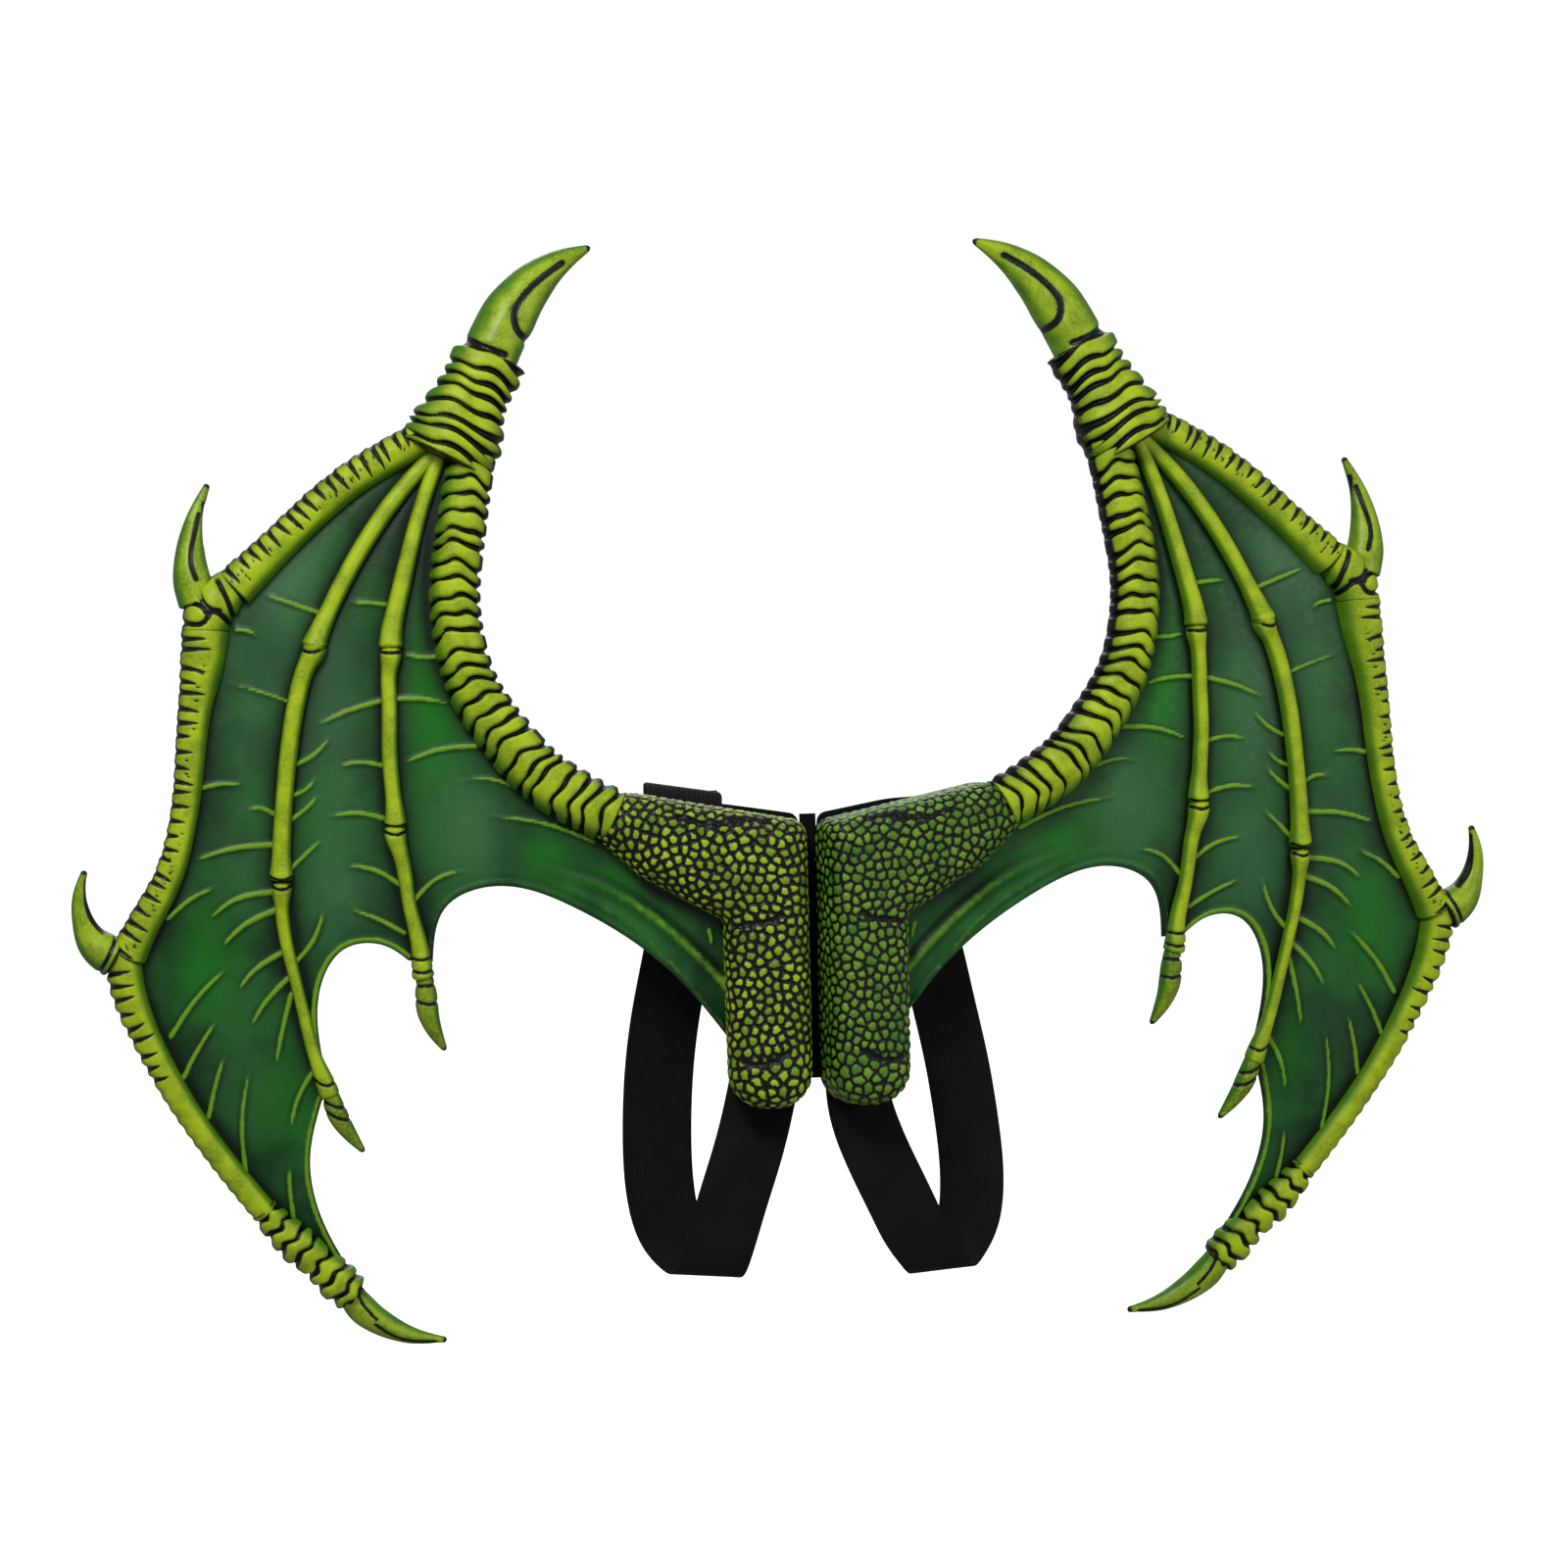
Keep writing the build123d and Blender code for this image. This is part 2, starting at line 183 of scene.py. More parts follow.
def nearest(spots, points):
    """For each point, the distance to the nearest of these spots and which one it is."""
    tree = kdtree.KDTree(len(spots))
    for number, spot in enumerate(spots):
        tree.insert((*spot, 0.0) if len(spot) == 2 else spot, number)
    tree.balance()
    found = [tree.find((*p, 0.0) if len(p) == 2 else p) for p in points]
    return np.array([f[2] for f in found]), np.array([f[1] for f in found])


def rows_of(mesh, what="co"):
    """The places of a mesh's vertices, or their normals, as rows of three."""
    values = np.empty(len(mesh.vertices) * 3)
    mesh.vertices.foreach_get(what, values)
    return values.reshape(-1, 3)


def mark(mesh, **masks):
    """Store what the paint follows, one value for each vertex."""
    for name, values in masks.items():
        layer = mesh.attributes.new(name, "FLOAT", "POINT")
        layer.data.foreach_set("value", np.asarray(values, np.float32))


def stand_pair(name, points, faces, paint, masks, nodes=None):
    """Stand a finished piece up at the right of the web, and its mirror image at the left."""
    made = []
    for side, word in SIDES:
        mesh = bpy.data.meshes.new(f"{word}_{name}")
        turned_faces = faces if side > 0 else [face[::-1] for face in faces]
        mesh.from_pydata(stood_up(points, side).tolist(), [], turned_faces)
        mesh.shade_smooth()
        mark(mesh, **masks)
        mesh.materials.append(paint[word] if isinstance(paint, dict) else paint)
        piece = bpy.data.objects.new(f"{word}_{name}_foam", mesh)
        bpy.context.scene.collection.objects.link(piece)
        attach(piece, f"{word}_wing")
        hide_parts(*[f"{word}_{node}" for node in (nodes or [name])])
        made.append(piece)
    return made


def colour(red, green, blue):
    """A paint as it is mixed, from 0 to 255, for a shader socket."""
    parts = [v / 255 for v in (red, green, blue)]
    return (*[v / 12.92 if v <= 0.04045 else ((v + 0.055) / 1.055) ** 2.4 for v in parts], 1.0)


def feed(tree, socket, value):
    """Wire a socket up to another one, or set its value."""
    if isinstance(value, bpy.types.NodeSocket):
        tree.links.new(value, socket)
    else:
        socket.default_value = value


def add_node(tree, kind, wired=None, **settings):
    """A shader node with its settings, and its sockets set or wired up."""
    made = tree.nodes.new(kind)
    for key, value in settings.items():
        setattr(made, key, value)
    for socket, value in (wired or {}).items():
        feed(tree, made.inputs[socket], value)
    return made


def coat(tree, amount, under, over):
    """One paint over another, as thick as amount says."""
    mix = add_node(tree, "ShaderNodeMix", data_type="RGBA")
    for socket, value in ((0, amount), (6, under), (7, over)):
        feed(tree, mix.inputs[socket], value)
    return mix.outputs[2]


def sums(tree, operation, first, second=0.0, third=0.0, clamp=False):
    """A sum on one or more masks."""
    made = add_node(tree, "ShaderNodeMath", operation=operation, use_clamp=clamp)
    for socket, value in enumerate((first, second, third)):
        feed(tree, made.inputs[socket], value)
    return made.outputs[0]


def in_object(tree):
    """Where a point is on the piece that is being shaded."""
    return add_node(tree, "ShaderNodeTexCoord").outputs["Object"]


def noise(tree, place, scale, detail=2.0):
    """Soft cloudy noise."""
    wired = {"Vector": place, "Scale": scale, "Detail": detail}
    return add_node(tree, "ShaderNodeTexNoise", wired).outputs["Fac"]


def spread(tree, value, low, high, to_low=0.0, to_high=1.0):
    """A mask stretched so that low to high becomes to_low to to_high."""
    return add_node(
        tree,
        "ShaderNodeMapRange",
        {"Value": value, "From Min": low, "From Max": high, "To Min": to_low, "To Max": to_high},
        interpolation_type="SMOOTHSTEP",
    ).outputs[0]


def vertex_mask(tree, name):
    """A mask that was stored on the mesh."""
    return add_node(tree, "ShaderNodeAttribute", attribute_name=name).outputs["Fac"]


def foam_grain():
    """Node group: the skin of moulded foam latex, as fine pimples, blotches and brush marks."""
    group = bpy.data.node_groups.new("foam skin", "ShaderNodeTree")
    group.interface.new_socket("Size", in_out="INPUT", socket_type="NodeSocketFloat")
    for name in ("Blotch", "Brush", "Height"):
        group.interface.new_socket(name, in_out="OUTPUT", socket_type="NodeSocketFloat")
    entry = group.nodes.new("NodeGroupInput")
    leave = group.nodes.new("NodeGroupOutput")
    place = in_object(group)
    size = entry.outputs["Size"]
    blotch = noise(group, place, size, 3.0)
    brush = noise(group, place, sums(group, "MULTIPLY", size, 9.0))
    finer = sums(group, "MULTIPLY", size, 24.0)
    pimple = add_node(
        group, "ShaderNodeTexVoronoi", {"Vector": place, "Scale": finer}, feature="SMOOTH_F1"
    ).outputs["Distance"]
    group.links.new(blotch, leave.inputs["Blotch"])
    group.links.new(brush, leave.inputs["Brush"])
    group.links.new(sums(group, "MULTIPLY_ADD", brush, 0.6, pimple), leave.inputs["Height"])
    return group


foam_skin = foam_grain()


def new_material(name, specular):
    """A bare material. Returns it, its tree and its shader."""
    material = bpy.data.materials.new(name)
    material.use_nodes = True
    tree = material.node_tree
    shader = tree.nodes["Principled BSDF"]
    shader.inputs["Specular IOR Level"].default_value = specular
    return material, tree, shader


def raise_skin(tree, shader, height, strength, metres):
    """Relief too fine to model, up to so many metres high."""
    wired = {"Height": height, "Strength": strength, "Distance": metres}
    relief = add_node(tree, "ShaderNodeBump", wired)
    tree.links.new(relief.outputs[0], shader.inputs["Normal"])


def new_paint(name, skin_size, bump, roughness, specular):
    """A material with the foam's skin in it. Returns it, its tree, its shader and the skin."""
    material, tree, shader = new_material(name, specular)
    skin = add_node(tree, "ShaderNodeGroup", node_tree=foam_skin)
    skin.inputs["Size"].default_value = skin_size
    raise_skin(tree, shader, skin.outputs["Height"], bump, 0.0004)
    worn = spread(tree, skin.outputs["Brush"], 0.3, 0.7, roughness - 0.07, roughness + 0.09)
    tree.links.new(worn, shader.inputs["Roughness"])
    return material, tree, shader, skin


membrane_paint, tree, shader, skin = new_paint("membrane, airbrushed green", 26, 0.25, 0.46, 0.25)
blotch, brush = skin.outputs["Blotch"], skin.outputs["Brush"]
dark_green, mid_green = colour(20, 60, 26), colour(34, 96, 38)
bright_green, sheen_grey_green = colour(24, 124, 14), colour(70, 118, 74)
vein_lime, back_green, shadow_green = colour(112, 160, 26), colour(24, 44, 28), colour(5, 18, 8)
base = coat(tree, spread(tree, blotch, 0.35, 0.65), dark_green, mid_green)
base = coat(tree, vertex_mask(tree, "wash"), base, bright_green)
# Painted sheen in grey-green patches, then painted shade in near-black green
base = coat(tree, vertex_mask(tree, "painted_sheen"), base, sheen_grey_green)
base = coat(tree, vertex_mask(tree, "shade"), base, shadow_green)
scuffed = sums(tree, "MULTIPLY_ADD", brush, 0.5, vertex_mask(tree, "vein"))
base = coat(tree, spread(tree, scuffed, 0.5, 1.0), base, vein_lime)
base = coat(tree, vertex_mask(tree, "behind"), base, back_green)
tree.links.new(base, shader.inputs["Base Color"])

# The outline goes round from the pad's foot: three scallops, the leading edge, then the arm
scallop_runs = [
    [(43, -50), (78, -8), (135, 31), (185, 43), (208, 32), (216, 0)],
    [(216, 0), (230, 1)],
    [(230, 1), (242, 9), (266, 8), (279, -10), (281, -46), (275, -75)],
    [(275, -75), (280, -80)],
    [(280, -80), (287, -113), (280, -151), (265, -180)],
]
hidden_runs = [
    [(265, -180), (289, -167), (322, -131), (349, -95), (379, -41), (392, -12)],
    [(392, -12), (390, 12), (366, 50), (354, 104), (349, 160), (343, 200)],
    [(343, 200), (326, 218), (304, 240), (262, 278), (210, 305)],
    [(210, 305), (197, 279), (203, 230), (199, 175), (175, 132), (139, 97), (100, 78)],
    [(100, 78), (43, 30), (43, -50)],
]


def outline_run(knots, spacing=0.4):
    """Points along one run of the outline, smooth where it has more than three knots."""
    knots = np.array(knots, float)
    length = np.linalg.norm(np.diff(knots, axis=0), axis=1).sum()
    count = max(2, int(length / spacing) + 1)
    if len(knots) > 3:
        return smooth_through(knots, count)[:-1]
    each = max(2, count // (len(knots) - 1))
    return np.concatenate([np.linspace(a, b, each)[:-1] for a, b in zip(knots, knots[1:])])


scallops = [outline_run(run) for run in scallop_runs]
outline = np.concatenate(scallops + [outline_run(run) for run in hidden_runs])
scallop_edge = np.concatenate(scallops)
BAY_OF_RUN = (0, 0, 1, 1, 2)
bay_of_edge = np.concatenate([np.full(len(run), bay) for run, bay in zip(scallops, BAY_OF_RUN)])

CELL = 1.35
columns = np.arange(38, 398, CELL)
rows = np.arange(-186, 310, CELL)
across, up = (grid.ravel() for grid in np.meshgrid(columns, rows))
corners = outline[::4]
inside = np.zeros(len(across), bool)
for (x0, y0), (x1, y1) in zip(corners, np.roll(corners, -1, axis=0)):
    if y0 != y1:
        crosses = (y0 > up) != (y1 > up)
        inside ^= crosses & (across < (x1 - x0) * (up - y0) / (y1 - y0) + x0)
wide = len(columns)
first = (np.arange(len(rows) - 1)[:, None] * wide + np.arange(wide - 1)).ravel()
quads = np.stack([first, first + 1, first + wide + 1, first + wide], axis=1)
quads = quads[inside[quads].any(axis=1)]
used, quads = np.unique(quads, return_inverse=True)
quads = quads.reshape(-1, 4)
across, up, inside = across[used], up[used], inside[used]
far, which = nearest(outline, np.stack([across, up], axis=1))
across = np.where(inside, across, outline[which, 0])
up = np.where(inside, up, outline[which, 1])
sheet = np.stack([across, up], axis=1)

# Each vein starts thick at a bone and thins out to nothing: its line, then its width there
veins = [
    ([(279, 200), (296, 206), (312, 211)], 1.3), ([(242, 205), (252, 206), (263, 206)], 1.1),
    ([(327, 191), (320, 190), (314, 187)], 1.1), ([(298, 150), (315, 156), (333, 160)], 0.8),
    ([(214, 175), (223, 175), (232, 176)], 1.2), ([(245, 150), (262, 145), (282, 136)], 1.4),
    ([(236, 151), (220, 151), (205, 148)], 1.4), ([(191, 124), (212, 122), (233, 114)], 1.5),
    ([(244, 113), (256, 115), (269, 113)], 1.3), ([(244, 83), (258, 86), (275, 84)], 1.4),
    ([(293, 114), (284, 119), (274, 129)], 1.3), ([(296, 96), (289, 99), (282, 106)], 1.1),
    ([(297, 82), (290, 87), (281, 96)], 1.3), ([(297, 54), (290, 61), (279, 71)], 1.2),
    ([(346, 101), (335, 103), (323, 102)], 1.3), ([(305, 85), (313, 89), (322, 88)], 1.2),
    ([(306, 68), (330, 66), (352, 59)], 1.8), ([(235, 45), (248, 53), (265, 56)], 1.5),
    ([(227, 35), (212, 49), (197, 53)], 1.3), ([(367, 26), (354, 37), (339, 44)], 1.4),
    ([(306, 41), (330, 36), (343, 26)], 1.9), ([(304, 31), (325, 21), (336, 10)], 2.0),
    ([(294, 1), (285, 12), (278, 31)], 1.5), ([(232, 17), (247, 25), (263, 31)], 1.4),
    ([(302, 6), (319, -5), (327, -15)], 1.8), ([(299, -9), (313, -24), (320, -36)], 1.8),
    ([(366, -42), (351, -20), (334, -3)], 1.7), ([(359, -66), (352, -52), (340, -33)], 1.5),
    ([(345, -89), (342, -75), (336, -54)], 1.5), ([(324, -121), (326, -95), (321, -60)], 1.3),
    ([(297, -18), (303, -42), (306, -59)], 1.6), ([(285, -63), (294, -79), (298, -96)], 1.5),
    ([(297, -148), (299, -131), (299, -117)], 1.4), ([(168, 100), (182, 105), (200, 104)], 0.9),
    ([(124, 69), (150, 79), (185, 84)], 1.2), ([(58, 18), (57, 13), (56, 8)], 1.0),
]
SPOTS_IN_VEIN = 70
vein_spots, vein_width = [], []
for line, width in veins:
    vein_spots.append(smooth_through(line, SPOTS_IN_VEIN))
    thinning = (1 - np.linspace(0, 1, SPOTS_IN_VEIN) ** 1.8) ** 0.6
    vein_width.append(0.85 * width * thinning + 0.05)
far_vein, spot = nearest(np.concatenate(vein_spots), sheet)
width = np.concatenate(vein_width)[spot]
vein = hump(far_vein, width * 0.8 + 0.4) * np.clip(width * 1.5, 0, 1)

# Everything that ribs the sheet: painted shade is drawn in dark beside these, and the sheet swells
# between them
rib_lines = [
    [(110, 82), (139, 97), (175, 131), (199, 175), (204, 207), (202, 243), (199, 285)],
    [(218, 303), (262, 278), (304, 241), (337, 209), (349, 160), (355, 104), (368, 47), (391, 3)],
    [(392, -4), (379, -41), (349, -95), (311, -146), (262, -188)],
    [(222, 282), (238, 263), (259, 231), (284, 179), (293, 149), (300, 95), (302, 49), (292, -20),
     (275, -77)],
    [(213, 284), (229, 231), (239, 179), (240, 122), (237, 77), (229, 33), (221, -10)],
    [(102, 70), (93, 51), (46, 24), (46, -50)],
]
rib_half_width = [15, 9, 8, 5, 5, 4]
beside_rib = np.full(len(sheet), 1e9)
for line, half in zip(rib_lines, rib_half_width):
    beside_rib = np.minimum(beside_rib, nearest(smooth_through(line, 260), sheet)[0] - half)
beside_rib = np.clip(beside_rib, 0, None)

from_edge, spot = nearest(scallop_edge, sheet)
bay = bay_of_edge[spot]
rim = hump(from_edge - 2.2, 1.5)
rim_lime = rim * np.choose(bay, [0.35, 0.95, 0.8])
SPOTS_IN_FOLD = 200
fold_knots = [(168, 57), (142, 50), (115, 41), (92, 27), (71, 9), (47, -15)]
fold_line = smooth_through(fold_knots, SPOTS_IN_FOLD)
far_fold, spot = nearest(fold_line, sheet)
above_fold = (up - fold_line[spot, 1]) > 0
down_fold = spot / (SPOTS_IN_FOLD - 1)
fold_grows = ease(0, 1, down_fold * 1.6)
fold = hump(far_fold, 3.6) * fold_grows
fold_dark = hump(far_fold - 4.6, 2.4) * (0.25 + 0.75 * above_fold) * fold_grows
second_knots = [(186, 54), (160, 48), (128, 36), (97, 16), (74, -8), (50, -38)]
far_second, spot = nearest(smooth_through(second_knots, SPOTS_IN_FOLD), sheet)
down_second = spot / (SPOTS_IN_FOLD - 1)
second = hump(far_second, 2.8) * ease(0, 1, down_second * 2)


def cloud(places, spread_mm):
    """Soft airbrushed clouds at these places, as strong as each says."""
    total = np.zeros(len(sheet))
    for x, y, tall, strength in places:
        total += strength * np.exp(
            -(((across - x) / spread_mm) ** 2 + ((up - y) / (spread_mm * tall)) ** 2)
        )
    return total


wash = cloud(
    [(216, 150, 2.6, 0.75), (258, 215, 1.6, 0.3), (305, 85, 1.5, 0.25), (343, 14, 1.6, 0.5),
     (352, -12, 1.2, 0.35), (283, 78, 1.2, 0.25), (296, -75, 1.6, 0.45), (150, 62, 0.8, 0.6),
     (110, 46, 0.7, 0.55), (196, 137, 1.0, 0.35), (240, 60, 1.4, 0.2), (84, 22, 0.8, 0.3)], 17,
)
# Painted sheen: soft grey-green patches where the satin skin would catch the light
painted_sheen = cloud(
    [(300, 222, 1.2, 0.55), (285, 178, 2.4, 0.4), (318, 148, 2.4, 0.35), (272, 118, 2.8, 0.4),
     (196, 78, 1.6, 0.55), (270, 40, 1.5, 0.45), (322, 60, 1.6, 0.25), (330, -60, 1.8, 0.12)], 21,
)
# Painted shade: dark beside the ribs, in the groove above the fold, beside each vein and at the
# very edge
dark = 0.9 * np.exp(-beside_rib / 4.5) + 0.25 * np.exp(-beside_rib / 13)
dark = np.maximum(dark, 0.95 * fold_dark)
dark = np.maximum(dark, 0.5 * hump(from_edge, 1.1))
vein_shadow = hump(far_vein - 2.3, 1.2) * np.clip(width, 0, 1)
dark = np.clip(np.maximum(dark, 0.6 * vein_shadow), 0, 0.95)
lime = np.clip(np.maximum.reduce([vein, rim_lime, 0.52 * fold, 0.36 * second]), 0, 1)
lime = np.maximum(lime, 0.95 * fold * ease(0.72, 0.95, down_second) * ease(120, 60, across))

swell = 2.2 * (1 - np.exp(-beside_rib / 16)) - 0.6
relief = swell * ease(0, 9, from_edge) + 1.5 * vein + 1.6 * rim * np.clip(from_edge, 0, 1)
relief += 2.8 * fold - 1.2 * fold_dark + 1.5 * second
relief -= 1.6 * hump(from_edge, 0.9)
front = on_mould(across, up, relief)
behind = on_mould(across, up, -MEMBRANE_THICKNESS + 0.35 * swell)
behind[:, 2] += 1.2 * hump(np.minimum(from_edge, 20), 1.2)

count = len(front)
edges = np.sort(np.concatenate([quads[:, [i, (i + 1) % 4]] for i in range(4)]), axis=1)
keys, times = np.unique(edges, axis=0, return_counts=True)
rim_keys = {tuple(key) for key in keys[times == 1].tolist()}
faces = [list(q) for q in quads.tolist()]
for quad in quads.tolist():
    for i in range(4):
        a, b = quad[i], quad[(i + 1) % 4]
        if (min(a, b), max(a, b)) in rim_keys:
            faces.append([b, a, a + count, b + count])
faces += [[v + count for v in reversed(q)] for q in quads.tolist()]


def both(mask):
    """The same mask for the sheet's front and its back."""
    return np.concatenate([mask, mask])


stand_pair(
    "wing_membrane",
    np.concatenate([front, behind]),
    faces,
    membrane_paint,
    {
        "wash": both(np.clip(wash, 0, 0.85)),
        "painted_sheen": both(np.clip(painted_sheen, 0, 0.7)),
        "shade": both(dark),
        "vein": both(lime),
        "behind": np.concatenate([np.zeros(count), np.full(count, 0.9)]),
    },
)

# ---------------------------------------------------------------------------------------------
# The bones: round bars of the same foam, moulded with the sheet. Black is rubbed into every
# groove first, green is sprayed along the sides and deepened there as painted shade, and lime is
# dry-brushed over the top, palest on the crest as a painted highlight.
black_groove, deep_green = colour(7, 8, 6), colour(34, 100, 8)
lime_olive, lime_bright = colour(120, 148, 4), colour(164, 188, 8)
lime_pale = colour(188, 206, 46)


def bone_coats(name, olive, bright, roughness):
    """Two limes, a pale one on the crest that is dry-brushed and a painted highlight, green along
    the sides that is airbrushed and painted shade, and black in the grooves.
    """
    material, tree, shader, skin = new_paint(name, 70, 0.3, roughness, 0.28)
    blotch, brush = skin.outputs["Blotch"], skin.outputs["Brush"]
    base = coat(tree, spread(tree, blotch, 0.35, 0.65), olive, bright)
    brushed = spread(tree, brush, 0.35, 0.7, 0.25, 1)
    # Pale lime on the crest: dry-brushed paint that is also a painted highlight
    crest = sums(tree, "MULTIPLY", vertex_mask(tree, "crest"), brushed)
    base = coat(tree, sums(tree, "MULTIPLY", crest, 0.42), base, lime_pale)
    # Green along the sides: airbrushed paint that is also painted shade
    base = coat(tree, vertex_mask(tree, "side"), base, deep_green)
    rubbed = sums(tree, "MULTIPLY_ADD", brush, 0.45, vertex_mask(tree, "groove"))
    base = coat(tree, spread(tree, rubbed, 0.4, 0.78), base, black_groove)
    base = coat(tree, vertex_mask(tree, "behind"), base, back_green)
    tree.links.new(base, shader.inputs["Base Color"])
    return material


bone_paint = bone_coats("bones, lime over black", lime_olive, lime_bright, 0.42)


def grow(name, stations, relief=None, height=1.0, lift=0.0, caps=(3, 3), around=44, step=0.8,
         paint=bone_paint, slot="bone_foam", outline_shade=0.0, ends_dark=(0.9, 0.9)):
    """A bone drawn out along its stations of (across, up, width), with its relief carved in.

    relief(s, q, place) gives mm to raise and how black it is, from the distance along, the
    place across from -1 (the sheet's side) to 1 (the outline's side), and across and up."""
    stations = np.array(stations, float)
    centres = on_mould(stations[:, 0], stations[:, 1], lift * stations[:, 2])
    gaps = np.linalg.norm(np.diff(centres, axis=0), axis=1)
    length = gaps.sum()
    rings = int(length / step)
    line = smooth_through(np.column_stack([centres, stations]), rings + 1)
    along = np.linspace(0, length, rings + 1)
    width = np.interp(along, np.concatenate([[0], np.cumsum(gaps)]), stations[:, 2])
    soft = max(1, int(4 / step))
    padded = np.concatenate([np.full(soft, width[0]), width, np.full(soft, width[-1])])
    width = np.convolve(padded, np.ones(2 * soft + 1) / (2 * soft + 1), "valid")
    ahead = np.gradient(line[:, :3], axis=0)
    ahead /= np.linalg.norm(ahead, axis=1)[:, None]
    out = np.array([0, 0, 1.0]) - ahead[:, 2:3] * ahead
    out /= np.linalg.norm(out, axis=1)[:, None]
    aside = np.cross(out, ahead)

    bpy.ops.mesh.primitive_uv_sphere_add(segments=around, ring_count=rings, radius=1)
    lump = bpy.context.object
    mesh = lump.data
    ball = rows_of(mesh)
    ring = np.rint(np.arccos(np.clip(ball[:, 2], -1, 1)) / math.pi * rings).astype(int)
    turn = np.arctan2(ball[:, 1], ball[:, 0])
    faces = [list(face.vertices) for face in mesh.polygons]
    bpy.data.objects.remove(lump)
    bpy.data.meshes.remove(mesh)

    s, face_on, q = along[ring], np.cos(turn), np.sin(turn)
    rounded = np.ones(rings + 1)
    for cap, reach_in in ((caps[0], along), (caps[1], length - along)):
        rounded *= np.sqrt(np.clip(1 - np.clip(1 - reach_in / cap, 0, 1) ** 2, 0, 1))
    half = width[ring] / 2
    lean_across = aside[ring, 0] * math.cos(SPLAY) + aside[ring, 1] * math.sin(SPLAY)
    lean_up = aside[ring, 1] * math.cos(SPLAY) - aside[ring, 0] * math.sin(SPLAY)
    where = line[ring, 3:5] + np.stack([lean_across * half * q, lean_up * half * q], axis=1)
    raised, groove = np.zeros(len(s)), np.zeros(len(s))
    if relief is not None:
        raised, groove = relief(s, q, where)
    in_front = ease(-0.55, 0.1, face_on)
    raised = raised * in_front
    radius = half * rounded[ring] + raised * rounded[ring]
    points = (
        line[ring, :3]
        + aside[ring] * (q * radius)[:, None]
        + out[ring] * (face_on * radius * height)[:, None]
    )
    at_ends = ends_dark[0] * hump(s, 2.6) + ends_dark[1] * hump(length - s, 2.6)
    # Painted shade in black along the outline's side, added to the black of the grooves
    groove = np.clip((groove + outline_shade * ease(0.78, 1.0, q)) * in_front, 0, 1)
    groove = np.maximum(groove, at_ends * in_front)
    # Green on both sides of the bone: airbrushed, and also painted shade on the sides
    green = np.clip(0.8 * ease(-0.4, -0.88, q) + 0.55 * ease(0.6, 1.0, q), 0, 1)
    # The crest is where the bone faces forwards; its pale lime is partly a painted highlight
    masks = {
        "groove": groove,
        "crest": ease(0.3, 0.95, face_on) * (1 - groove),
        "side": green * in_front,
        "behind": 0.92 * ease(0.0, -0.5, face_on),
    }
    stand_pair(name, points, faces, paint, masks)


def jitter(seed, count, amount):
    """The same small unevenness each time, for what a sculptor did by hand."""
    return np.random.default_rng(seed).uniform(-amount, amount, count)


def plates(pitch, bow, seed, depth, gap, swell, wave):
    """Overlapping plates across a bone, each bowed towards its far end, with black between."""

    def carve(s, q, place):
        count = int(s.max() / pitch) + 3
        starts = (np.arange(count) - 0.5) * pitch + jitter(seed, count, pitch * 0.16)
        tilt = jitter(seed + 1, count, 0.8)
        arch = s - bow * (1 - np.abs(q) ** 2.4) - wave * np.sin(q * 5 + s * 0.11)
        best = np.full(len(s), 1e9)
        for start, lean in zip(starts, tilt):
            best = np.minimum(best, np.abs(arch - start - lean * q))
        opened = gap * (1 + 0.45 * q + 0.9 * ease(-0.7, -1.0, q) + 0.25 * np.sin(s * 0.9 + q * 3))
        opened = np.maximum(opened, 0.4)
        raised = swell * ease(0, pitch * 0.3, best) - depth * hump(best, opened)
        return raised, hump(best, opened, 4)

    return carve


def notches(pitch, reach, seed, depth, start=0.0, stop=1e9, specks=True):
    """Short cuts that run in from the outline's side of a bone and thin out, with specks."""

    def carve(s, q, place):
        count = int(min(s.max(), stop) / pitch) + 2
        cuts = start + np.arange(count) * pitch + jitter(seed, count, pitch * 0.2)
        lengths = reach + jitter(seed + 1, count, 0.28)
        lean = jitter(seed + 2, count, 1.2)
        black = np.zeros(len(s))
        for cut, long, slope in zip(cuts, lengths, lean):
            if start - 1 < cut < stop:
                inwards = np.clip((1 - q) / 2, 0, 1)
                wide = 1.75 * np.clip(1 - inwards / (long * 0.6), 0, 1) ** 0.55 + 0.02
                off = np.abs(s - cut - slope * inwards * 2.2)
                black = np.maximum(black, hump(off, wide) * (wide > 0.05))
        if specks:
            spot_rng = np.random.default_rng(seed + 3)
            for _ in range(int(s.max() / 5)):
                at = spot_rng.uniform(4, max(5, min(s.max(), stop) - 4))
                side = spot_rng.uniform(-0.25, 0.35)
                size = spot_rng.uniform(0.35, 0.75)
                apart = ((s - at) / size) ** 2 + ((q - side) * 9 / size / 2) ** 2
                black = np.maximum(black, 0.8 * np.exp(-apart))
        ripple = 0.35 * np.cos(s / pitch * 2 * math.pi) * ease(0.2, 0.9, q)
        return -depth * black + ripple, black

    return carve


def grooves(lines, gap=0.9, depth=1.4):
    """Black cuts along these lines, given across and up."""
    spots = np.concatenate([smooth_through(line, 60) for line in lines])

    def carve(s, q, place):
        black = hump(nearest(spots, place)[0], gap)
        return -depth * black, black

    return carve


# The inner arm: some twenty-six crescent plates, from the shoulder pad up to the wrist
grow(
    "inner_arm",
    [(110, 82, 30), (139, 97, 31), (157, 110, 31), (175, 131, 30), (189, 151, 29),
     (198, 175, 28), (202.5, 207, 27.5), (199.5, 243, 27.5), (194, 280, 26), (192, 292, 26)],
    plates(9.8, 5.2, 11, depth=2.4, gap=1.2, swell=1.2, wave=1.0),
    around=56, step=0.6, outline_shade=0.9,
)
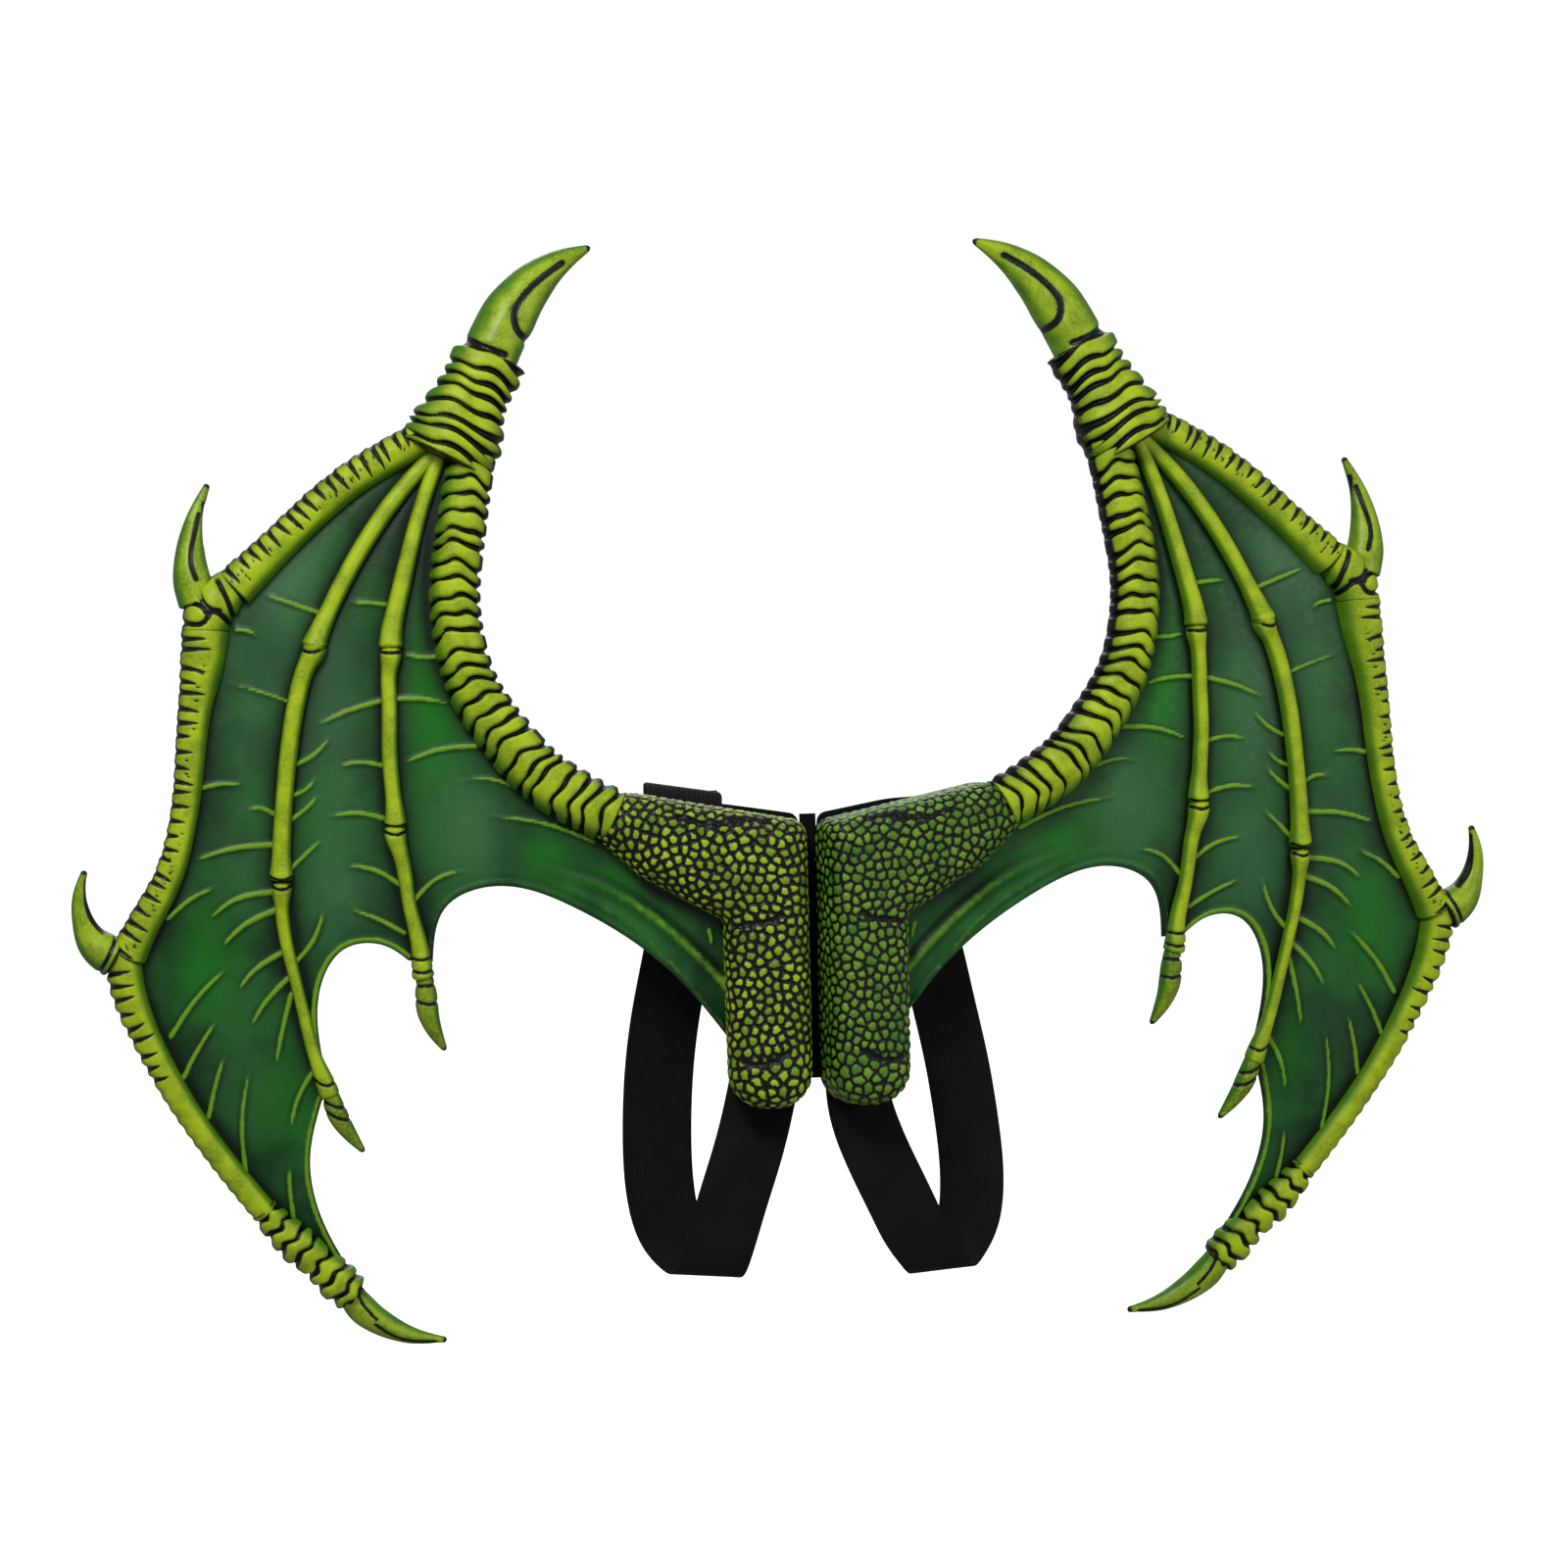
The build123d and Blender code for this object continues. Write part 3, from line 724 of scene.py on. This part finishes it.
# The wrist: a sleeve of folded skin that the thumb claw grows out of
grow(
    "wrist_collar",
    [(209, 286, 50), (206, 292, 54), (201, 303, 55), (196, 316, 45), (190, 328, 40), (185, 338, 41),
     (181, 347, 42)],
    plates(8.4, 2.6, 21, depth=2.5, gap=1.5, swell=1.4, wave=1.2),
    height=0.8, around=72, step=0.6, caps=(2.5, 2.5), outline_shade=0.5,
)
# The leading edge: two hatched bones, a lumpy elbow between them, then a long smooth one
grow(
    "upper_leading_bone",
    [(214, 303, 21), (261, 276.5, 20.5), (303, 239.5, 21), (330, 213, 25)],
    notches(7.4, 1.05, 31, depth=1.3), outline_shade=0.45,
)
grow(
    "elbow_knuckle",
    [(328, 217, 20), (337, 209, 29), (343, 199, 29), (346, 186, 24)],
    grooves(
        [
            [(357, 205), (349, 215), (339, 225)], [(357, 195), (345, 195), (341, 200), (330, 194)],
            [(354, 206), (347, 204), (343, 199)], [(350, 215), (341, 202), (336, 201)],
            [(338, 219), (330, 203), (327, 195)],
        ],
        gap=1.5, depth=2.2,
    ),
    step=0.6, around=56, outline_shade=0.5,
)
grow(
    "middle_leading_bone",
    [(344.5, 193, 28), (347, 170, 25), (350.5, 149, 20), (353, 128, 18), (355, 104, 17),
     (359, 77, 16), (368, 47, 17), (380, 25, 19), (391, 3, 22)],
    notches(8.0, 1.0, 41, depth=1.3), outline_shade=0.45, step=0.7,
)
grow(
    "lower_leading_bone",
    [(392, 9, 17), (392, -4, 21), (389.5, -18, 20), (380.5, -42, 17), (350.5, -96, 14.5),
     (312, -147, 15)],
    notches(8.2, 1.15, 51, depth=1.2, start=12, stop=78, specks=False),
    outline_shade=0.15, step=0.7, ends_dark=(0.4, 0.7),
)
grow(
    "tip_knuckle",
    [(316, -142, 13), (305, -154, 18), (294, -165, 22), (284, -174, 18), (273, -185, 23),
     (262, -196, 20)],
    plates(10.5, -2.0, 61, depth=2.0, gap=1.4, swell=1.5, wave=1.3), step=0.6, outline_shade=0.5,
)

# ---------------------------------------------------------------------------------------------
# The claws and spurs: horn-like points, smooth and a little glossier, each with a dark hollow
# brushed in along one side.
CLAW = {
    "paint": bone_coats("claws, glossy lime", colour(90, 126, 10), colour(140, 170, 22), 0.33),
    "slot": "claw_foam",
}
FINGER_CLAW = {
    "paint": bone_coats("finger claws, dark olive", colour(58, 92, 8), colour(98, 132, 16), 0.33),
    "slot": "claw_foam",
}


def streaks(seed, lines, gap, depth=0.9):
    """A claw's hollow along these lines, and faint streaks that run towards its tip."""
    fine = 7
    hollow = grooves(lines, gap=gap, depth=depth)

    def carve(s, q, place):
        raised, black = hollow(s, q, place)
        ridges = np.cos(q * fine + np.sin(s * 0.05 + seed)) * 0.12
        faint = 0.28 * ease(0.75, 1, np.cos(q * fine * 1.7 + seed + s * 0.012)) * ease(4, 20, s)
        return raised + ridges, np.maximum(black, faint)

    return carve


grow(
    "thumb_claw",
    [(184, 342, 33), (170, 371, 32), (156, 389, 24), (139, 402, 13), (124, 409, 3)],
    streaks(
        1,
        [[(141, 399), (152, 391), (163, 380), (169, 368), (166, 358), (155, 353)],
         [(174, 345), (186, 349), (199, 358)]],
        gap=2.1, depth=1.7,
    ),
    height=0.9, caps=(2, 3), around=56, step=0.7, **CLAW,
)
grow(
    "elbow_spur",
    [(348, 204, 22), (352, 219, 22), (353, 237, 16), (350, 256, 9), (343, 274, 3)],
    streaks(
        2, [[(348, 256), (351, 242), (352, 227), (349, 219)], [(345, 262), (344, 240)]],
        gap=1.5, depth=0.8,
    ),
    caps=(3, 2), **CLAW,
)
grow(
    "outer_spur",
    [(396, 3, 25), (408, 11, 21), (415, 24, 13), (417, 40, 8), (414, 54, 3)],
    streaks(
        3, [[(413, 48), (413, 36), (410, 26), (404, 19)], [(395, 21), (400, 8), (407, -5)]], gap=1.2
    ),
    caps=(3, 2), **CLAW,
)
grow(
    "tip_claw",
    [(266, -192, 15), (258, -203, 18), (246, -212, 15), (230, -219, 10), (209, -222, 3)],
    streaks(
        4, [[(252, -211), (238, -220), (216, -223)], [(263, -188), (258, -199), (251, -208)]],
        gap=0.9,
    ),
    caps=(3, 2), **CLAW,
)

# ---------------------------------------------------------------------------------------------
# The two fingers: thin bones laid down the front of the sheet, each flared where it meets the
# next, with a ringed knuckle there and a small wrinkled claw hanging past the sheet's edge.
FINGER_BONE = {"ends_dark": (0.4, 0.4)}
FINGERS = [
    ("second_finger_upper",
     [(212, 292, 9), (222, 282, 9), (238, 263, 10), (259, 231, 10), (274, 202, 10), (282, 184, 13),
      (284, 179, 15)],
     None, FINGER_BONE),
    ("second_finger_middle",
     [(281, 186, 13), (283, 178, 14), (286, 172, 10.5), (293, 149, 10.5), (300, 95, 10),
      (302, 60, 11), (302, 47, 15)],
     grooves([[(275, 181), (283, 178), (291, 180)], [(295, 50), (302, 48), (309, 50)]], gap=0.8),
     FINGER_BONE),
    ("second_finger_lower",
     [(302, 47, 12), (302, 42, 12), (302, 33, 8), (292, -20, 7), (283, -56, 8), (277, -72, 12),
      (275, -78, 12)],
     grooves([[(295, 45), (302, 43), (309, 45)], [(270, -67), (278, -70), (285, -67)]], gap=0.8),
     FINGER_BONE),
    ("second_finger_claw",
     [(276, -73, 9), (273, -83, 12), (270, -90, 12), (263, -101, 8), (256, -110, 3)],
     grooves([[(265, -83), (273, -82), (281, -79)], [(263, -90), (270, -89), (277, -86)]]),
     FINGER_CLAW),
    ("third_finger_upper",
     [(209, 294, 9), (213, 284, 9), (222, 258, 9), (229, 231, 10), (236, 202, 11), (239, 184, 13),
      (239, 179, 15)],
     None, FINGER_BONE),
    ("third_finger_middle",
     [(239, 181, 12), (239, 176, 13), (240, 168, 9), (240, 149, 9), (240, 122, 9), (238, 95, 9),
      (237, 82, 12), (237, 77, 14)],
     grooves([[(231, 178), (239, 177), (247, 178)], [(229, 80), (237, 78), (245, 80)]], gap=0.8),
     FINGER_BONE),
    ("third_finger_lower",
     [(237, 79, 12), (237, 74, 13), (234, 62, 9), (229, 33, 8), (223, 6, 10), (222, -4, 13),
      (221, -10, 13)],
     grooves([[(229, 76), (237, 74), (245, 76)], [(214, 4), (222, 2), (230, 3)],
              [(214, -3), (222, -5), (229, -4)]], gap=0.8),
     FINGER_BONE),
    ("third_finger_claw",
     [(221, -6, 9), (220, -18, 13), (219, -28, 13), (215, -40, 9), (209, -51, 3)],
     grooves([[(212, -12), (220, -13), (227, -13)], [(211, -22), (219, -23), (227, -21)]]),
     FINGER_CLAW),
]
for name, stations, cuts, kind in FINGERS:
    grow(name, stations, cuts, lift=0.2, around=32, **kind)

# ---------------------------------------------------------------------------------------------
# The shoulder pads: thick L-shaped blocks of soft foam with a crowned face, moulded all over
# with small domed scales. Black fills the gaps, and lime is brushed over the scales.
PAD_BACK = 3
PAD_DEPTH = 35
PAD_CORNERS = [
    (-3.5, 79), (45, 88), (102, 99), (120, 76), (93, 51), (45, 24), (44, -84), (-3.5, -84),
]
SCALE_PITCH = 5.6

bpy.ops.mesh.primitive_plane_add(size=1)
block = bpy.context.object
block.data.clear_geometry()
block.data.from_pydata(
    [(x, y, PAD_BACK) for x, y in PAD_CORNERS], [], [list(range(len(PAD_CORNERS)))[::-1]]
)
bpy.ops.object.mode_set(mode="EDIT")
bpy.ops.mesh.select_mode(type="VERT")
bpy.ops.mesh.select_all(action="SELECT")
bpy.ops.mesh.normals_make_consistent(inside=False)
bpy.ops.object.mode_set(mode="OBJECT")


def pick(piece, chosen):
    """Select only the vertices for which chosen(place) is true."""
    for vertex in piece.data.vertices:
        vertex.select = bool(chosen(vertex.co))
    for edge in piece.data.edges:
        edge.select = all(piece.data.vertices[v].select for v in edge.vertices)
    for face in piece.data.polygons:
        face.select = all(piece.data.vertices[v].select for v in face.vertices)


def round_off(piece, chosen, offset, segments, affect):
    """Round the corners or the edges of a piece where chosen(place) is true."""
    pick(piece, chosen)
    bpy.ops.object.mode_set(mode="EDIT")
    bpy.ops.mesh.bevel(offset=offset, segments=segments, affect=affect)
    bpy.ops.object.mode_set(mode="OBJECT")


def draw_out(height):
    """Draw the flat piece that is being edited out into a block."""
    bpy.ops.mesh.select_all(action="SELECT")
    bpy.ops.mesh.extrude_region_move(TRANSFORM_OT_translate={"value": (0, 0, height)})
    bpy.ops.mesh.select_all(action="SELECT")
    bpy.ops.mesh.normals_make_consistent(inside=False)


round_off(block, lambda place: place.y < -80, 20, 8, "VERTICES")
round_off(block, lambda place: place.y > 60, 8, 5, "VERTICES")
bpy.ops.object.mode_set(mode="EDIT")
draw_out(PAD_DEPTH)
bpy.ops.object.mode_set(mode="OBJECT")
round_off(block, lambda place: place.z > PAD_BACK + PAD_DEPTH - 1, 14, 7, "EDGES")
block.data.remesh_voxel_size = 0.8
bpy.ops.object.voxel_remesh()
ease_off = block.modifiers.new("crown", "SMOOTH")
ease_off.factor, ease_off.iterations = 0.5, 40
bpy.ops.object.modifier_apply(modifier="crown")

count = len(block.data.vertices)
points, outward = rows_of(block.data), rows_of(block.data, "normal")
faces = [list(face.vertices) for face in block.data.polygons]
bpy.data.objects.remove(block)

# Scales are set out no closer than their pitch, then evened out as packed beads would settle
beads, taken = [], {}
for number in np.random.default_rng(7).permutation(count):
    spot = points[number]
    key = tuple((spot // SCALE_PITCH).astype(int))
    near = [
        other
        for dx in (-1, 0, 1) for dy in (-1, 0, 1) for dz in (-1, 0, 1)
        for other in taken.get((key[0] + dx, key[1] + dy, key[2] + dz), ())
    ]
    size = SCALE_PITCH * (0.94 if spot[0] > 60 else 1.0) * (1.12 if spot[1] < -55 else 1.0)
    if all(np.sum((spot - other) ** 2) > (size * 0.86) ** 2 for other in near):
        taken.setdefault(key, []).append(spot)
        beads.append(spot)
beads = np.array(beads)
for _ in range(2):
    owner = nearest(beads, points)[1]
    totals = np.zeros_like(beads)
    np.add.at(totals, owner, points)
    beads = totals / np.maximum(np.bincount(owner, minlength=len(beads)), 1)[:, None]

tree_of_beads = kdtree.KDTree(len(beads))
for number, bead in enumerate(beads):
    tree_of_beads.insert(bead, number)
tree_of_beads.balance()
close = [tree_of_beads.find_n(point, 2) for point in points]
to_first = np.array([c[0][2] for c in close])
to_next = np.array([c[1][2] for c in close])
owner = np.array([c[0][1] for c in close])
from_gap = (to_next - to_first) / 2
chance = np.random.default_rng(5).uniform(0, 1, len(beads))[owner]
faces_front = ease(PAD_BACK + 1.5, PAD_BACK + 6, points[:, 2])
dome = 1.5 * np.sqrt(np.clip(from_gap / 2.6, 0, 1)) - 0.95
crease = np.concatenate(
    [
        smooth_through([(70, 84, 38), (50, 80, 39), (30, 82, 39), (18, 80, 39)], 60),
        smooth_through([(12, 26, 38), (26, 22, 39), (40, 21, 37)], 40),
        smooth_through([(10, -52, 38), (24, -58, 39), (36, -57, 37)], 40),
    ]
)
creased = hump(nearest(crease[:, :2], points[:, :2])[0], 1.8) * ease(25, 34, points[:, 2])
shaped = points + outward * (dome * faces_front - 1.3 * creased)[:, None]


def pad_coats(name, gap_from, gap_to, olive, bright):
    """Two greens over the scales, some of them duller, and black in the gaps."""
    material, tree, shader, skin = new_paint(name, 60, 0.25, 0.4, 0.25)
    blotch, brush = skin.outputs["Blotch"], skin.outputs["Brush"]
    base = coat(tree, spread(tree, blotch, 0.35, 0.65), olive, bright)
    base = coat(tree, vertex_mask(tree, "duller"), base, deep_green)
    worn = spread(tree, brush, 0.3, 0.7)
    domed = sums(tree, "MULTIPLY_ADD", worn, -0.3, vertex_mask(tree, "dome"))
    base = coat(tree, spread(tree, domed, gap_from, gap_to), black_groove, base)
    tree.links.new(base, shader.inputs["Base Color"])
    return material


pad_paint = {
    "left": pad_coats(
        "left pad, lime scales", 0.24, 0.5, colour(124, 150, 12), colour(160, 188, 24)
    ),
    # The right pad's greens are darker and duller than the left's: partly its own paint, partly
    # painted shade
    "right": pad_coats(
        "right pad, green scales", 0.12, 0.42, colour(78, 120, 20), colour(112, 152, 34)
    ),
}
pads = stand_pair(
    "shoulder_pad",
    shaped,
    faces,
    pad_paint,
    {
        "dome": np.clip(from_gap / 2.2, 0, 1) * faces_front * (1 - creased) * (0.82 + 0.3 * chance),
        "duller": 0.55 * (chance > 0.72) * chance,
    },
)

# ---------------------------------------------------------------------------------------------
# The shoulder loops: black ribbed elastic, 40 mm wide, sewn behind the pad's top, down in a loop
# for the arm, and back up to the pad's foot.
WEBBING_WIDTH = 40
WEBBING_THICKNESS = 1.8
WEBBING_STEPS = 260
# The webbing goes up nearest the pad, turns through the slider and comes down behind itself
NEAR_LAYER, BETWEEN_LAYERS, FAR_LAYER = -4.2, -7.2, -10.2
LOOP_TOP = {"right": 82, "left": 96}
LOOP_HANG = {
    "right": [
        (79, 8, -14, 0), (89, -26, -19, 0), (99, -64, -23, 0), (105, -100, -24, 0),
        (107, -136, -23, 0), (102, -162, -21, 0), (92, -178, -17, 0.03), (81, -184, -9, 0.06),
        (72, -177, -2, 0.15), (62, -163, 1, 0.28), (51, -142, 2, 0.4), (37, -112, 1, 0.4),
        (28, -82, -1.2, 0.4), (26, -57, -1.2, 0.4),
    ],
    "left": [
        (76, 4, -17, 0), (83, -30, -29, 0), (88, -66, -37, 0), (90, -102, -38, 0),
        (88.5, -138, -34, 0), (81, -165, -29, 0.02), (71, -178, -20, 0.05), (64, -181.5, -11, 0.08),
        (60, -175, -3, 0.14), (55, -160, 1, 0.2), (48, -138, 2, 0.26), (38, -108, 1, 0.28),
        (31, -82, -1.2, 0.28), (25.5, -57, -1.2, 0.28),
    ],
}


def stand_beside(piece, points, side):
    """Give a piece these points, in the wing's own frame, beside the web."""
    piece.data.vertices.foreach_set("co", stood_up(points, side).ravel())
    if side < 0:
        piece.data.flip_normals()
    piece.data.update()


def thicken(piece, thickness):
    """Give a sheet its thickness, in mm, half to each side."""
    thick = piece.modifiers.new("thickness", "SOLIDIFY")
    thick.thickness, thick.offset = thickness / 1000, 0
    bpy.ops.object.modifier_apply(modifier="thickness")


def soften_edges(piece, width, segments, angle=30):
    """Round every edge that is sharper than this angle."""
    soft = piece.modifiers.new("soft edge", "BEVEL")
    soft.width, soft.segments, soft.limit_method = width, segments, "ANGLE"
    soft.angle_limit = math.radians(angle)
    bpy.ops.object.modifier_apply(modifier="soft edge")


def finish(piece, material, body, node, smooth_below=40):
    """Smooth a piece, and say what it is made of, what it rides on and what it replaces."""
    bpy.ops.object.shade_smooth_by_angle(angle=math.radians(smooth_below))
    piece.data.materials.append(material)
    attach(piece, body)
    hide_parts(node)


def cloth(name, black, brown, along_ribs, ribs, bump):
    """Black cloth whose ribs follow its own map, with a fine weave and some dust."""
    material, tree, shader = new_material(name, 0.1)
    flat_map = add_node(tree, "ShaderNodeTexCoord").outputs["UV"]
    apart = add_node(tree, "ShaderNodeSeparateXYZ", {"Vector": flat_map})
    wave = sums(tree, "SINE", sums(tree, "MULTIPLY", apart.outputs[0], ribs * 2 * math.pi))
    cross = sums(tree, "SINE", sums(tree, "MULTIPLY", apart.outputs[1], along_ribs * 2 * math.pi))
    weave = sums(tree, "MULTIPLY_ADD", cross, 0.35, wave)
    raise_skin(tree, shader, spread(tree, weave, -1.2, 1.2), bump, 0.0005)
    dust = noise(tree, in_object(tree), 45.0)
    base = coat(tree, spread(tree, weave, -1.0, 1.2), black, brown)
    dusty = coat(tree, spread(tree, dust, 0.5, 0.8, 0, 0.3), base, black)
    tree.links.new(dusty, shader.inputs["Base Color"])
    tree.links.new(spread(tree, dust, 0.3, 0.7, 0.75, 0.92), shader.inputs["Roughness"])
    shader.inputs["Sheen Weight"].default_value = 0.03
    shader.inputs["Sheen Roughness"].default_value = 0.5
    return material


webbing = cloth("black ribbed elastic", colour(8, 7, 8), colour(26, 23, 25), 420, 26, 0.5)

for side, word in SIDES:
    top = LOOP_TOP[word]
    route = np.array(
        [
            (71, 32, NEAR_LAYER, 0), (71, (32 + top) / 2, NEAR_LAYER, 0),
            (71, top - 5, NEAR_LAYER, 0), (71, top + 0.6, BETWEEN_LAYERS, 0),
            (71, top - 5, FAR_LAYER, 0), (71, (36 + top) / 2, FAR_LAYER, 0),
            (71, 36, FAR_LAYER, 0), *LOOP_HANG[word],
        ]
    )
    route[:, 0] -= HINGE_OFFSET
    line = smooth_through(route, WEBBING_STEPS + 1)
    wide = np.stack([np.ones(len(line)), line[:, 3], np.zeros(len(line))], axis=1)
    wide /= np.linalg.norm(wide, axis=1)[:, None]

    bpy.ops.mesh.primitive_grid_add(x_subdivisions=16, y_subdivisions=WEBBING_STEPS, size=1)
    loop = bpy.context.object
    loop.name = f"{word}_shoulder_loop_webbing"
    laid = rows_of(loop.data)
    place = np.rint((laid[:, 1] + 0.5) * WEBBING_STEPS).astype(int)
    points = line[place, :3] + wide[place] * (laid[:, 0:1] * WEBBING_WIDTH)
    stand_beside(loop, points, side)
    thicken(loop, WEBBING_THICKNESS)
    soften_edges(loop, 0.0005, 2, 50)
    finish(loop, webbing, f"{word}_wing", f"{word}_shoulder_loop")

# ---------------------------------------------------------------------------------------------
# What is sewn behind the pads: a plate of black felt that carries the foam, the web of the same
# felt that joins the two wings, and a folded patch of webbing over each end of the loop.
felt = cloth("black felt", colour(7, 7, 8), colour(15, 15, 16), 90, 40, 0.25)
PLATE = [(0.3, 83), (44, 90), (98, 92), (98, 62), (38, 28), (38, -70), (0.3, -70)]


def sewn_flat(name, corners, near, far, node, material, soften=5.0, tip=0.0, middle=(0, 0)):
    """A flat piece of cloth cut to these corners, from one depth to another, with soft edges.

    It is stood up on the side that the loop below has reached."""
    bpy.ops.mesh.primitive_plane_add(size=1)
    piece = bpy.context.object
    piece.name = name
    piece.data.clear_geometry()
    cos, sin = math.cos(tip), math.sin(tip)
    corners = [(middle[0] + x * cos - y * sin, middle[1] + x * sin + y * cos) for x, y in corners]
    piece.data.from_pydata([(x, y, near) for x, y in corners], [], [list(range(len(corners)))])
    bpy.ops.object.mode_set(mode="EDIT")
    bpy.ops.mesh.select_mode(type="VERT")
    bpy.ops.mesh.select_all(action="SELECT")
    bpy.ops.mesh.bevel(offset=soften, segments=4, affect="VERTICES")
    draw_out(far - near)
    bpy.ops.uv.cube_project(cube_size=40)
    bpy.ops.object.mode_set(mode="OBJECT")
    soften_edges(piece, min(0.7, abs(far - near) * 0.35), 3, 50)
    stand_beside(piece, rows_of(piece.data), side)
    finish(piece, material, f"{word}_wing", node)
    return piece


for side, word in SIDES:
    plate = sewn_flat(
        f"{word}_backing_felt", PLATE, 0.0, 3.0, f"{word}_backing_plate", felt
    )
    patch = [(-20, -9), (20, -9), (20, 9), (-20, 9)]
    upper = sewn_flat(
        f"{word}_upper_patch", patch, -3.2, -0.05, f"{word}_upper_tab", webbing,
        soften=1.0, middle=(66, 42),
    )
    patch = [(-19, -8), (19, -8), (19, 8), (-19, 8)]
    lower = sewn_flat(
        f"{word}_lower_patch", patch, -4.4, -2.4, f"{word}_lower_tab", webbing,
        soften=1.0, tip=math.atan(0.28), middle=(22.6, -61),
    )

bpy.ops.mesh.primitive_grid_add(x_subdivisions=8, y_subdivisions=60, size=1)
web = bpy.context.object
web.name = "centre_web_felt"
laid = rows_of(web.data)
hollow = -1.0 + 0.35 * np.cos(laid[:, 0] * 2 * math.pi)
web_points = np.stack([laid[:, 0] * 9.4, hollow, 7 + laid[:, 1] * 152], axis=1)
web.data.vertices.foreach_set("co", (web_points / 1000).ravel())
thicken(web, 1.3)
finish(web, felt, "root", "centre_web")

# ---------------------------------------------------------------------------------------------
# The sliders: moulded black plastic frames with a middle bar, round both layers of the webbing,
# with finger ribs across the front and rounded corners.
SLIDER_REST = {"right": 62, "left": 87.5}
# How much the top and the bottom of each frame slant, to follow the pad's top
SLIDER_SLANT = {"right": 0.0, "left": 0.16}
SLIDER_ACROSS = 66
SLIDER_RISE = 3.5
SLIDER_SIZE = (45, 17.4, 13)
SLOT_SIZE = (41.4, 40, 3.4)
POCKET_SIZE = (41.4, 20, 9.4)
RIBS, RIB_PITCH, RIB_SIZE = 15, 2.7, (1.3, 15.6, 1.1)


def box(place, size):
    """A block of this size in the wing's own frame, in mm."""
    bpy.ops.mesh.primitive_cube_add(size=1, location=place, scale=size)
    bpy.ops.object.transform_apply(location=True, rotation=True, scale=True)
    return bpy.context.object


plastic, tree, shader = new_material("black moulded plastic", 0.25)
speck = noise(tree, in_object(tree), 900.0, 3.0)
cloudy = spread(tree, noise(tree, in_object(tree), 60.0), 0.3, 0.7)
black = coat(tree, cloudy, colour(6, 5, 6), colour(13, 11, 13))
tree.links.new(black, shader.inputs["Base Color"])
tree.links.new(spread(tree, speck, 0.3, 0.7, 0.45, 0.62), shader.inputs["Roughness"])
raise_skin(tree, shader, speck, 0.15, 0.0002)

for side, word in SIDES:
    rest = SLIDER_REST[word]
    slider = box((SLIDER_ACROSS, rest + SLIDER_RISE, BETWEEN_LAYERS), SLIDER_SIZE)
    slider.name = f"{word}_slider_frame"
    bpy.ops.object.mode_set(mode="EDIT")
    bpy.ops.mesh.select_mode(type="EDGE")
    bpy.ops.mesh.select_all(action="SELECT")
    bpy.ops.mesh.bevel(offset=2.4, segments=5, affect="EDGES")
    bpy.ops.object.mode_set(mode="OBJECT")
    # A slot for each layer of the webbing, then the pocket at the top where the webbing turns
    for place, size in (
        ((SLIDER_ACROSS, rest, NEAR_LAYER), SLOT_SIZE),
        ((SLIDER_ACROSS, rest, FAR_LAYER), SLOT_SIZE),
        ((SLIDER_ACROSS, rest + 15, BETWEEN_LAYERS), POCKET_SIZE),
    ):
        slot_tool = box(place, size)
        bpy.context.view_layer.objects.active = slider
        cut = slider.modifiers.new("slot", "BOOLEAN")
        cut.object, cut.operation, cut.solver = slot_tool, "DIFFERENCE", "EXACT"
        bpy.ops.object.modifier_apply(modifier="slot")
        bpy.data.objects.remove(slot_tool)
    for number in range(RIBS):
        rib_across = SLIDER_ACROSS + (number - RIBS // 2) * RIB_PITCH
        box((rib_across, rest + SLIDER_RISE, -0.65), RIB_SIZE).select_set(True)
        slider.select_set(True)
        bpy.context.view_layer.objects.active = slider
        bpy.ops.object.join()
    soften_edges(slider, 0.45, 3)
    points = rows_of(slider.data)
    at_ends = (points[:, 1] > rest + 9) | (points[:, 1] < rest - 4)
    points[:, 1] += at_ends * (points[:, 0] - SLIDER_ACROSS) * SLIDER_SLANT[word]
    stand_beside(slider, points, side)
    finish(slider, plastic, f"{word}_slider_body", f"{word}_slider", 35)
    bpy.ops.object.select_all(action="DESELECT")

# ---------------------------------------------------------------------------------------------
# The stiffening wires: 3 mm spring steel inside the foam of the leading edge, from the pad to the
# wing's tip. They stay as they are, with the oiled grey finish of drawn wire.
steel, tree, shader = new_material("drawn spring steel", 0.5)
drawn = noise(tree, in_object(tree), 400.0)
grey = coat(tree, spread(tree, drawn, 0.3, 0.7), colour(96, 98, 102), colour(142, 144, 148))
tree.links.new(grey, shader.inputs["Base Color"])
shader.inputs["Metallic"].default_value = 1.0
tree.links.new(spread(tree, drawn, 0.3, 0.7, 0.3, 0.45), shader.inputs["Roughness"])
for word in ("left", "right"):
    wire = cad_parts[f"{word}_edge_wire"]
    wire.data.materials.clear()
    wire.data.materials.append(steel)
